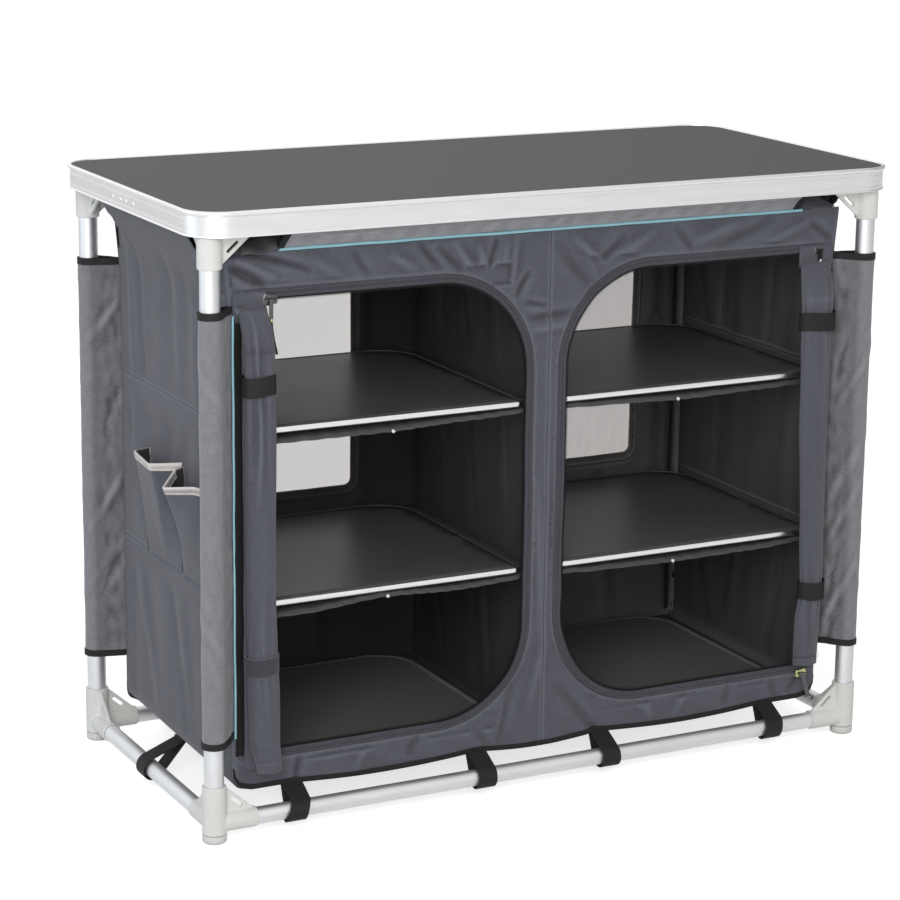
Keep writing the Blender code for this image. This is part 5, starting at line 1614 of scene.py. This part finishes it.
drawn = wires.noise(wires.stretched(flat, (3800, 11, 1)), 1.0, 3, 0.6)
plug(drawn * 0.26 + 0.12, shader, "Roughness")
plug(drawn.mix((0.84, 0.84, 0.85, 1), (0.96, 0.96, 0.96, 1)), shader, "Base Color")
bump(wires, shader, drawn, 0.00005, 0.5)
# Painted shade: a dark, dull copy of the aluminium edging for the edging's sides and back.
SHADED_EDGING_TONES = ((0.060, 0.060, 0.062), (0.150, 0.150, 0.152))
shaded_edging = speckled("shaded_edging", (0.10, 0.10, 0.10), 0.5, 0.0, (260, 4, 0.7), (0.3, 0.38), SHADED_EDGING_TONES)
snap_metal = speckled("snap_nickel", (0.80, 0.79, 0.76), 0.3, 1.0, (900, 3, 0.6), (0.4, 0.12))


def board_outline(side, front, back, inner, outer, reach):
    """A board's edge from above, running the same way round for both sides."""
    low_x, high_x = sorted((side * inner, side * outer))
    return round_oblong(low_x, -reach, high_x, reach, front, back, 12)


def swept_round(name, ring, profile, height, sharp=40):
    """A closed profile (inward, up) carried round a closed outline."""
    lines = [[Vector((*spot, height + up)) for spot in beside(ring, -inward)] for inward, up in profile]
    rows = [list(row) for row in zip(*lines)]
    return skin(name, rows, form="loop", sharp=sharp)


def sagging(stations, share):
    """A smooth line through stations of share and amount."""
    for (start, low), (end, high) in zip(stations, stations[1:]):
        if start <= share <= end:
            return low + (high - low) * eased((share - start) / (end - start))
    return stations[-1][1]


for half, side in LEFT_RIGHT:
    for level, top in SHELF_TOPS.items():
        name, body = f"{half}_{level}", f"shelf_{half}_{level}"
        sizes = (SHELF[key] for key in ("front", "back", "inner", "outer", "reach"))
        ring = divided(board_outline(side, *sizes), 0.02)
        thick = SHELF["edge"]
        profile = [(0.0022, 0), (0.0012, 0), (0.0004, -0.0003), (0, -0.0012), (0, -0.0052)]
        profile += [(0.0007, -0.0068), (0.0020, 0.0004 - thick), (0.0034, -thick), (0.0050, -thick)]
        profile += [(0.0050, 0.0008 - thick), (0.0022, -0.0007)]
        edging = swept_round("shelf_edging_" + name, ring, profile, top)
        finish_piece(edging, bright_edging, body, ["shelf_board_" + name])
        edging.data.materials.append(shaded_edging)
        # Every face but those along the front gets the painted shade copy of the edging.
        for face in edging.data.polygons:
            face.material_index = int(face.center.y > 0.006 - SHELF["reach"])

        def board_shape(u, v, top=top):
            return Vector((u, v, top - 0.0007)), Vector((0, 0, 1))

        board = cut_cloth(
            "shelf_board_panel_" + name, beside(ring, -0.0030), board_shape, 0.02, thickness=0.0070,
            sides=(0, 0)
        )
        finish_piece(board, board_laminate, body)

        low_x, high_x = sorted((side * SLING["near"], side * SLING["far"]))

        def sling_shape(u, v, top=top, name=name, low_x=low_x, high_x=high_x):
            share = (u - low_x) / (high_x - low_x)
            near = max(0, 1 - (v - SLING["front"]) / 0.10)
            drop_down = SLING["sag"] * sagging(SLING_HEMS[name], share) * near**1.6
            ripple = 0.0010 * sin(u * 130 + 4 * drift(u * 15, v * 8, 3)) * near
            ends = min(1, share / 0.04, (1 - share) / 0.04)
            height = top - thick - 0.0006 - drop_down - abs(ripple) * max(0, ends)
            return Vector((u, v, height)), Vector((0, 0, 1))

        outline = oblong(low_x, SLING["front"], high_x, SLING["back"])
        sling = cut_cloth("shelf_sling_cloth_" + name, outline, sling_shape, 0.0085, thickness=0.0010)
        finish_piece(sling, black_lining, "unit", ["shelf_sling_" + name])
        high_x - low_x
        rows = []
        for index in range(73):
            u = low_x + (high_x - low_x) * index / 72
            start, inner = (sling_shape(u, SLING["front"] + shift)[0] for shift in (0, 0.005))
            row = [start + Vector((0, back, rise)) for back, rise in SLING_HEM]
            rows.append([inner + UP * 0.0005, *row, inner - UP * 0.0015])
        hem = skin("sling_hem_" + name, rows, form="rod", sharp=50)
        finish_piece(hem, black_lining, "unit")
        spot = sling_shape(SNAPS[name], SLING["front"])[0] + Vector((0, -0.0012, -0.0024))
        snap = turned("sling_snap_" + name, SNAP_PROFILE, spot, (RIGHT, UP, -BACK), 20, 50)
        finish_piece(snap, snap_metal, "unit")


# Floor boards. They are stiff boards covered in dark cloth, bound round the edge, and
# they lie loose on the floor cloth.

# A floor board's two corner radii, its inner and outer edge and half its depth.
FLOOR_BOARD = (0.060, 0.060, 0.027, 0.407, 0.183)
facing_cloth = woven("facing_cloth", (0.088, 0.090, 0.108), (0.128, 0.130, 0.150), 0.85)
board_cloth = woven(
    "floor_board_cloth", (0.090, 0.088, 0.086), (0.140, 0.137, 0.132), 0.62, 0.0009, 0.00012, 0.05
)
for half, side in LEFT_RIGHT:
    low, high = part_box("floor_board_" + half)
    ring = divided(board_outline(side, *FLOOR_BOARD), 0.02)
    thick = high.z - low.z

    def cover_shape(u, v, top=high.z):
        return Vector((u, v, top - 0.0004 + slack(u, v, 0.09, 0.0005, 70))), Vector((0, 0, 1))

    cover = cut_cloth(
        "floor_board_cover_" + half, beside(ring, -0.0012), cover_shape, 0.012, thickness=0.0050, sides=(0, 0)
    )
    finish_piece(cover, board_cloth, "floor_" + half, ["floor_board_" + half])
    profile = [(0.0085, -0.0002), (0.0082, 0.0004), (0.0014, 0.0004), (0.0002, -0.0010), (0, -thick / 2)]
    profile += [(0.0002, 0.0010 - thick), (0.0014, -thick), (0.0085, -thick), (0.0085, 0.0006 - thick)]
    bound = swept_round("floor_board_binding_" + half, ring, profile, high.z, sharp=60)
    finish_piece(bound, facing_cloth, "floor_" + half)

# Rolled doors. Each door is one cut of the cabinet cloth, sewn in along the outer edge
# and the top of its doorway, and rolled up there. Two webbing bands tie it.

ROLL = {"y": -0.2038, "half_y": 0.0128, "top": 0.6715, "turns": 4.1, "core": 0.16, "sewn_y": -0.1925}
# Each roll's outer and inner edge at several heights, as (height, outer x, inner x).
ROLL_EDGES = {
    "left": (
        (0.079, 0.4140, 0.3800),
        (0.120, 0.4245, 0.3830),
        (0.180, 0.4275, 0.3825),
        (0.300, 0.4275, 0.3875),
        (0.575, 0.4300, 0.3865),
        (0.640, 0.4310, 0.3880),
        (0.672, 0.4330, 0.3930),
    ),
    "right": (
        (0.108, 0.4325, 0.3910),
        (0.170, 0.4345, 0.3910),
        (0.216, 0.4365, 0.3965),
        (0.300, 0.4340, 0.3930),
        (0.485, 0.4330, 0.3840),
        (0.620, 0.4355, 0.3800),
        (0.672, 0.4345, 0.3835),
    ),
}
ROLL_SEAMS = {"left": 0.4250, "right": 0.4338}
# The door's flat head above each roll: its outer edge, its lower and upper, and its inner.
HEAD = {"outer": 0.4350, "low": 0.6640, "high": 0.6925, "left": 0.3935, "right": 0.3830}
ROLL_BANDS = {"left": (0.5785, 0.221), "right": (0.592, 0.214)}
# Folds along each roll: where round it, half width, depth, and the heights between which it runs.
ROLL_FOLDS = {
    "left": (
        (4.95, 0.24, 0.42, 0.42, 0.71), (5.65, 0.30, 0.14, 0.46, 0.66), (4.25, 0.30, 0.10, 0.45, 0.62),
        (4.80, 0.26, 0.10, 0.15, 0.33)
    ),
    "right": (
        (5.50, 0.32, 0.22, 0.42, 0.70), (4.70, 0.28, 0.08, 0.50, 0.62), (4.50, 0.26, 0.16, 0.13, 0.25),
        (5.20, 0.26, 0.12, 0.15, 0.26)
    ),
}


def between(stations, height):
    """The values at a height, from stations in order of height, joined smoothly."""
    for low, high in zip(stations, stations[1:]):
        if height <= high[0] or high is stations[-1]:
            share = eased((height - low[0]) / (high[0] - low[0]))
            return [first + (last - first) * share for first, last in zip(low[1:], high[1:])]


def roll_section(name, side, z):
    """A roll's middle and its half sizes at one height."""
    outer, inner = between(ROLL_EDGES[name], z)
    drawn = sum(exp(-(((z - band) / 0.026) ** 2)) for band in ROLL_BANDS[name])
    near_top = max(0, 1 - (ROLL["top"] - z) / 0.050)
    wander = 0.0008 * drift(z * 9, side, 4)
    half_x = (outer - inner) / 2 * (1 - 0.05 * drawn)
    half_y = ROLL["half_y"] * (1 - 0.14 * drawn - 0.78 * near_top**1.3)
    y = ROLL["y"] + (ROLL["sewn_y"] - ROLL["y"]) * near_top**1.2
    return Vector((side * (outer + inner) / 2 + wander, y, z)), half_x, half_y


for name, side in LEFT_RIGHT:
    low = ROLL_EDGES[name][0][0]
    rows = []
    columns = 190
    for level in range(141):
        z = low + (ROLL["top"] - low) * level / 140
        middle, half_x, half_y = roll_section(name, side, z)
        row = []
        for column in range(columns):
            share = column / (columns - 1)
            turn = radians(125) + 2 * pi * ROLL["turns"] * share
            angle = turn % (2 * pi)
            size = 1 - (1 - ROLL["core"]) * share
            outer = max(0, 1 - share * 1.3)
            change = 0.030 * drift(cos(turn) * 1.6, sin(turn) * 1.6, z * 16 + side * 9)
            for at, width, depth, start, end in ROLL_FOLDS[name]:
                if start < z < end:
                    sway = at + 0.10 * sin(z * 34 + at * 5)
                    off = (angle - sway) / width
                    change -= depth * sin(pi * (z - start) / (end - start)) * exp(-(off**2))
            for band in ROLL_BANDS[name]:
                near = exp(-(((z - band) / 0.035) ** 2))
                change -= 0.05 * near * max(0, sin(angle * 9 + 2 * sin(angle * 2)))
            size *= 1 + change * outer
            place = middle + Vector((side * half_x * size * cos(turn), half_y * size * sin(turn), 0))
            hem = max(0, 1 - abs(z - low - 0.0115) / 0.002) * 0.0006 * outer
            place += Vector((-side * cos(turn), -sin(turn), 0)) * hem
            place.z -= 0.0030 * share * (1 - min(1, (z - low) / 0.02))
            row.append(place.lerp(Vector((side * ROLL_SEAMS[name], -0.1903, z)), eased(1 - share / 0.035)))
        rows.append(row)
    roll = skin("rolled_door_" + name, rows, sharp=180)
    thicken(roll, 0.0009)
    finish_piece(roll, cabinet_cloth, "unit", ["door_roll_" + name])
    ROLL["top"] - low
    lines = []
    for rise in (0.0085, 0.0140):
        middle, half_x, half_y = roll_section(name, side, low + rise)
        lines.append([])
        for step in range(60):
            turn = radians(150) + radians(240) * step / 59
            out = Vector((side * cos(turn), sin(turn), 0))
            place = middle + Vector((out.x * half_x, out.y * half_y, 0)) * 1.01
            lines[-1].append((place, out))

    def head_shape(u, v):
        place, normal = front_shape(u, v)
        return place + normal * 0.0030, normal

    low_x, high_x = sorted((side * HEAD["outer"], side * HEAD[name]))
    outline = oblong(low_x, HEAD["low"], high_x, HEAD["high"])
    head = cut_cloth("door_head_" + name, outline, head_shape, 0.004)
    finish_piece(head, cabinet_cloth, "unit")
    high_x - low_x
    for z in (0.6700, 0.6738):
        lines.append([head_shape(low_x + (high_x - low_x) * step / 14, z) for step in range(15)])
    finish_piece(stitching("rolled_door_stitches_" + name, lines), thread, "unit")
    for number, height in enumerate(ROLL_BANDS[name]):
        middle, half_x, half_y = roll_section(name, side, height)
        path = []
        for step in range(57):
            turn = radians(104) + 2 * pi * step / 56 * 0.985
            swell = 0.0010 + 0.0004 * sin(turn * 5)
            reach = Vector((side * (half_x + swell) * cos(turn), (half_y + 0.0008) * sin(turn), 0))
            path.append(middle + reach + Vector((0, 0, 0.0012 * sin(turn * 2 + number))))
        band = strap(f"tie_band_{name}_{number + 1}", path, Vector((0, 0, side)), 0.0245, 0.0009)
        finish_piece(band, cabinet_cloth if (name, number) == ("left", 1) else webbing, "unit")
    # A black tape runs down the doorway's outer edge beside the roll; its black also stands in for the shadow
    # in the gap between the panel and the roll.
    edge = [
        front_shape(side * 0.4312, 0.100 + step * 0.008)[0] - Vector((0, 0.0022, 0)) for step in range(71)
    ]
    tape = strap("door_edge_tape_and_shadow_" + name, edge, Vector((1, 0, 0)), 0.0115, 0.0012)
    finish_piece(tape, zip_black, "unit")

# Zip sliders. Each is cast metal: two shield shaped plates on a post, and a bridge in
# front for the pull. They sit on the zips at the straight parts of the doorways' edges.

WORN = (420, 4, 0.65)
METAL_TONES = ((0.04, 0.04, 0.042), (0.24, 0.24, 0.235))
slider_metal = speckled(
    "slider_metal", (0.14, 0.13, 0.11), 0.35, 1.0, WORN, (0.35, 0.16), METAL_TONES, 0.00006
)
BRASS_TONES = ((0.42, 0.42, 0.16), (0.80, 0.80, 0.42))
brass = speckled("slider_brass", (0.55, 0.56, 0.30), 0.3, 1.0, WORN, (0.30, 0.14), BRASS_TONES)
PLATE_FACES = ((-0.1904, 1), (-0.1859, -1))
POST = {"places": (-0.1908, -0.188, -0.1856), "inward": 0.0043, "radius": 0.0013}
PLATE_RINGS = ((0.0012, 0), (0, 0), (0, 0.0010), (0.0005, 0.0015), (0.0014, 0.0018), (0.0030, 0.0019))
BRIDGE = {"y": -0.1945, "half": 0.0056, "radius": 0.00065, "root": -0.1914}
SLIDERS = {}
SHIFTS = {"top_left": (-0.0050, -0.0045), "top_right": (0.0, 0.0), "bottom_right": (0.0070, -0.0100)}
SLIDER_SIZES = {"top_left": 1.3, "top_right": 1.0, "bottom_right": 1.15}
for name in ("top_left", "top_right", "bottom_right"):
    low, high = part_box("zip_slider_" + name)
    x, z = (low.x + high.x) / 2 + SHIFTS[name][0], (low.z + high.z) / 2 + SHIFTS[name][1]
    SLIDERS[name] = (x, z)
    nose = -1 if name == "top_left" else 1
    shield = [
        (0.0074, 0.0030, 0.0026), (0.0046, 0.0062, 0.0016), (-0.0020, 0.0047, 0.0020),
        (-0.0074, 0.0043, 0.0018)
    ]
    shield += [(u, -v, radius) for u, v, radius in shield[::-1]]
    size = SLIDER_SIZES[name]
    ring = rounded([(nose * u * size, v * size, radius * size) for u, v, radius in shield[::nose]], 5)
    for number, (face, out) in enumerate(PLATE_FACES):
        rows = [
            [Vector((x + spot.x, face - out * rise, z + spot.y)) for spot in beside(ring, -inset)]
            for inset, rise in PLATE_RINGS
        ]
        plate = skin(f"zip_plate_{name}_{number + 1}", rows, form="rod", sharp=40)
        used = [f"zip_slider_{name}"] if number == 0 else []
        finish_piece(
            plate, brass if name == "bottom_right" else slider_metal, "slider_" + name, used
        )
    inward = -1 if name.startswith("top") else 1
    places = [Vector((x, y, z + inward * POST["inward"])) for y in POST["places"]]
    post = rod_along("zip_post_" + name, places, POST["radius"], 12)
    finish_piece(post, slider_metal, "slider_" + name)
    route = [
        (-1, 0), (-1, 0.62), (-0.93, 0.88), (-0.78, 1), (-0.3, 1), (0.3, 1), (0.78, 1), (0.93, 0.88),
        (1, 0.62), (1, 0)
    ]
    points = [
        Vector((x + BRIDGE["half"] * size * across, BRIDGE["root"] + (BRIDGE["y"] - BRIDGE["root"]) * out, z))
        for across, out in route
    ]
    bridge = rod_along("zip_bridge_" + name, points, BRIDGE["radius"] * size, 10)
    finish_piece(bridge, slider_metal, "slider_" + name)


# Zip pulls. A strip is folded round each bridge: metal with a black cord at the upper
# left, a short dark one with a pale rivet at the upper right, grey tape at the bottom.

pull_tape = woven("pull_tape", (0.20, 0.20, 0.205), (0.36, 0.36, 0.365), 0.7, 0.0008, 0.00014, 0.1)
cord_black, wires, shader = new_material("braided_black", (0.012, 0.012, 0.013), 0.6)
flat = metres(wires)
parts = parted(wires, flat)
strands = [wires.sum("SINE", way * 4200, 0) for way in (parts[0] + parts[1], parts[0] - parts[1])]
braid = strands[0] * strands[1]
plug((braid * 0.5 + 0.5).mix((0.006, 0.006, 0.007, 1), (0.034, 0.034, 0.036, 1)), shader, "Base Color")
bump(wires, shader, braid, 0.0002, 0.8)


def folded_strip(name, x, z, length, width, thickness, turn=0.0):
    """A strip folded over a slider's bridge, with both ends hanging down."""
    radius = BRIDGE["radius"] + thickness + 0.0002
    path = []
    for step in range(12):
        share = step / 11
        path.append((-thickness * 0.62 - (radius - thickness * 0.62) * share**3, -length * (1 - share)))
    path += [(-radius * cos(pi * step / 10), radius * sin(pi * step / 10)) for step in range(1, 10)]
    for step in range(12):
        share = 1 - step / 11
        path.append((thickness * 0.62 + (radius - thickness * 0.62) * share**3, -length * 0.98 * (1 - share)))
    spots = [Vector((x - turn * rise, BRIDGE["y"] + out, z + rise)) for out, rise in path]
    return strap(name, spots, Vector((1, 0, 0)), width, thickness)


x, z = SLIDERS["top_left"]
tab = folded_strip("zip_tab_top_left", x, z, 0.0245, 0.0052, 0.0008)
finish_piece(tab, slider_metal, "pull_top_left")
PULL_CORD = {"length": 0.0455, "diameter": 0.0034}
cord_path = [
    Vector((x + 0.0075 * share**1.6, BRIDGE["y"], z - 0.0232 - 0.0447 * share))
    for share in (step / 24 for step in range(25))
]
pull_cord = rod_along("zip_cord_top_left", cord_path, PULL_CORD["diameter"] / 2, 14)
finish_piece(pull_cord, cord_black, "pull_top_left", ["zip_pull_top_left"])
ferrule = rod_along(
    "zip_ferrule_top_left", [spot.copy() for spot in cord_path[:3]], PULL_CORD["diameter"] / 2 + 0.0006, 16
)
finish_piece(ferrule, brass, "pull_top_left")
x, z = SLIDERS["top_right"]
tab = folded_strip("zip_tab_top_right", x, z, 0.0165, 0.0054, 0.0009)
finish_piece(tab, zip_black, "pull_top_right", ["zip_pull_top_right"])
profile = [(0.0017, 0.0), (0.0017, 0.0005), (0.0012, 0.0009), (0.0004, 0.0010)]
spot = Vector((x, BRIDGE["y"] - 0.0013, z - 0.0132))
rivet = turned("zip_rivet_top_right", profile, spot, (RIGHT, UP, -BACK), 18, 50)
finish_piece(rivet, snap_metal, "pull_top_right")
x, z = SLIDERS["bottom_right"]
tape = folded_strip("zip_tape_pull", x, z, 0.0375, 0.0066, 0.0009, 0.34)
finish_piece(tape, pull_tape, "pull_bottom_right", ["zip_pull_bottom_right"])

# Bellows pockets on the left side. Each is one cut of the cabinet cloth, sewn to the
# panel down its sides and along its bottom, with a ribbon folded over its mouth.

PANEL_FACE = -0.4403
# Each mouth's corners: how far out, along Y, up, and where the fold meets the bottom.
POCKETS = {
    "rear": (
        (0.0, 0.082, 0.4390, 0.083),
        (0.023, 0.083, 0.4365, 0.086),
        (0.0400, -0.013, 0.4425, 0.022),
        (0.0, -0.031, 0.4440, -0.028),
    ),
    "front": (
        (0.001, -0.036, 0.4400, -0.034),
        (0.015, -0.038, 0.4370, -0.036),
        (0.0440, -0.071, 0.4255, -0.052),
        (0.0230, -0.124, 0.4370, -0.118),
        (0.0, -0.148, 0.4320, -0.146),
    ),
}
POCKET_LOW = 0.298
# The ribbon's section: how far down from the mouth, and how far out.
RIBBON = ((0.0100, 0.00028), (0.0094, 0.0007), (0.0050, 0.00077), (-0.0002, 0.0007), (-0.0008, -0.0005))
RIBBON += ((-0.0002, -0.0017), (0.0050, -0.0017), (0.0100, -0.0017), (0.0100, -0.000765))
ribbon_cloth = woven("pale_ribbon", (0.50, 0.46, 0.43), (0.70, 0.655, 0.62), 0.7, 0.0010, 0.00014, 0.15)


def mouth_line(corners, steps=26, reach=0.16):
    """The mouth from corner to corner, with each corner turned round a little."""
    line = []
    final = len(corners) - 2
    for number, (start, end) in enumerate(zip(corners, corners[1:])):
        before = corners[number - 1] if number > 0 else None
        after = corners[number + 2] if number < final else None
        for step in range(steps + (number == final)):
            share = step / steps
            spot = [first + (last - first) * share for first, last in zip(start, end)]
            ends = ((start, end, before, reach - share), (end, start, after, share - 1 + reach))
            for near, other, far, weight in ends:
                if far and weight > 0:
                    pull = 0.25 * (weight / reach) ** 2 * reach
                    bends = [first + last - 2 * middle for first, last, middle in zip(far, other, near)]
                    spot = [value + pull * bend / 2 for value, bend in zip(spot, bends)]
            line.append(spot)
    return line


for name, corners in POCKETS.items():
    mouth = mouth_line(corners)
    rows = []
    for level in range(41):
        rise = level / 40
        row = []
        for index, (out, along_y, height, low_y) in enumerate(mouth):
            across = index / (len(mouth) - 1)
            flat_out = 0.0013 + 0.0022 * sin(pi * across)
            gape = flat_out + (out - flat_out) * rise**1.25
            belly = 0.0016 * sin(pi * rise) * drift(across * 7, rise * 3, len(name))
            y = low_y + (along_y - low_y) * rise
            z = POCKET_LOW + (height - POCKET_LOW) * rise
            edge = min(1, across / 0.06, (1 - across) / 0.06)
            row.append(Vector((PANEL_FACE - max(gape, 0.0012) - belly * edge, y, z)))
        rows.append(row)
    pocket = skin("side_pocket_cloth_" + name, rows, sharp=50)
    thicken(pocket, 0.0010, (0, 1))
    finish_piece(pocket, cabinet_cloth, "unit", ["side_pocket_" + name])
    pocket.data.materials.append(black_lining)
    lengths = measured([Vector(spot[:3]) for spot in mouth])[1]
    ribbon_rows = []
    for index, (top, under) in enumerate(zip(rows[-1], rows[-3])):
        down = (under - top).normalized()
        out = heading(rows[-1], index).cross(down).normalized()
        if out.x > 0 and abs(out.x) > 0.2:
            out = -out
        ribbon_rows.append([top + down * low + out * reach for low, reach in RIBBON])
    ribbon = skin("pocket_ribbon_" + name, ribbon_rows, form="rod", sharp=60)
    finish_piece(ribbon, ribbon_cloth, "unit")

# Worktop. A laminated board lies in a bent aluminium extrusion with a round bead, a
# groove and a lined flat band. Four rivets hold the extrusion's ends on the left side.

TOP = {"x": 0.505, "y": 0.240, "z": 0.800, "corner": 0.050}
path = []
for centre_x, centre_y, start_angle in ((1, -1, -90), (1, 1, 0), (-1, 1, 90), (-1, -1, 180)):
    for step in range(25):
        angle = radians(start_angle + 90 * step / 24)
        outward = Vector((cos(angle), sin(angle), 0))
        centre = Vector(
            (centre_x * (TOP["x"] - TOP["corner"]), centre_y * (TOP["y"] - TOP["corner"]), TOP["z"])
        )
        path.append((centre + outward * TOP["corner"], outward))
bead = []
for step in range(13):
    angle = radians(118 - 225 * step / 12)
    bead.append((-0.0030 + 0.0030 * cos(angle), -0.0030 + 0.0030 * sin(angle)))
bead[0] = (-0.0044, -0.0004)
band = [(-0.0034, -0.0062), (-0.0028, -0.0070), (-0.0028, -0.0092)]
for line in (0.0102, 0.0118, 0.0245, 0.0261):
    band += [(-0.0028, -line + 0.0003), (-0.0031, -line), (-0.0028, -line - 0.0003)]
band += [(-0.0028, -0.0294), (-0.0018, -0.0302), (-0.0015, -0.0311), (-0.0020, -0.0319), (-0.0032, -0.0320)]
inside = [(-0.0046, -0.0318), (-0.0046, -0.0093), (-0.0110, -0.0093), (-0.0110, -0.0078), (-0.0050, -0.0078)]
inside += [(-0.0050, -0.0014)]
profile = bead + band + inside
rows = [[spot + outward * out + Vector((0, 0, rise)) for out, rise in profile] for spot, outward in path]
extrusion = drawn_aluminium(
    "brushed_extrusion", (4200, 9, 1), (90, 14, 1), (0.20, 0.18, 0.12), (0.88, 0.881, 0.884),
    (0.96, 0.960, 0.962)
)
rim = skin("worktop_rim", rows, form="loop", sharp=32)
finish_piece(rim, extrusion, "worktop", ["table_rim"])

laminate, wires, shader = new_material("grey_laminate", (0.128, 0.128, 0.130), 0.5)
place = object_place(wires)
speck = wires.noise(place, 900, 3, 0.7)
cloud = wires.noise(place, 9, 4, 0.6)
stops = ((0.36, (0.080, 0.077, 0.082)), (0.64, (0.107, 0.103, 0.110)))
tone = wires.node("ShaderNodeValToRGB", {"stops": stops}, {0: speck * 0.55 + cloud * 0.45}, "Color")
plug(tone, shader, "Base Color")
plug(speck * 0.25 + cloud * 0.12 + 0.40, shader, "Roughness")
shader.inputs["Specular IOR Level"].default_value = 0.22
bump(wires, shader, speck, 0.00015, 0.35)
NODES["table_board"].data.materials.clear()
NODES["table_board"].data.materials.append(laminate)

rivet_metal = speckled("rivet_aluminium", (0.78, 0.78, 0.79), 0.4, 1.0, (700, 3, 0.6), (0.4, 0.2))
RIVET = {"from_rim": 0.0028, "z": 0.7812, "places": (0.039, 0.014, -0.007, -0.031)}
profile = [(0.0030, 0.0), (0.0029, 0.0004), (0.0022, 0.0009), (0.0012, 0.0012), (0.0006, 0.0009)]
for number, y in enumerate(RIVET["places"]):
    spot = Vector((RIVET["from_rim"] - TOP["x"], y, RIVET["z"]))
    rivet = turned(f"rivet_{number + 1}", profile, spot, (BACK, UP, -RIGHT), 20, 50)
    finish_piece(rivet, rivet_metal, "worktop")
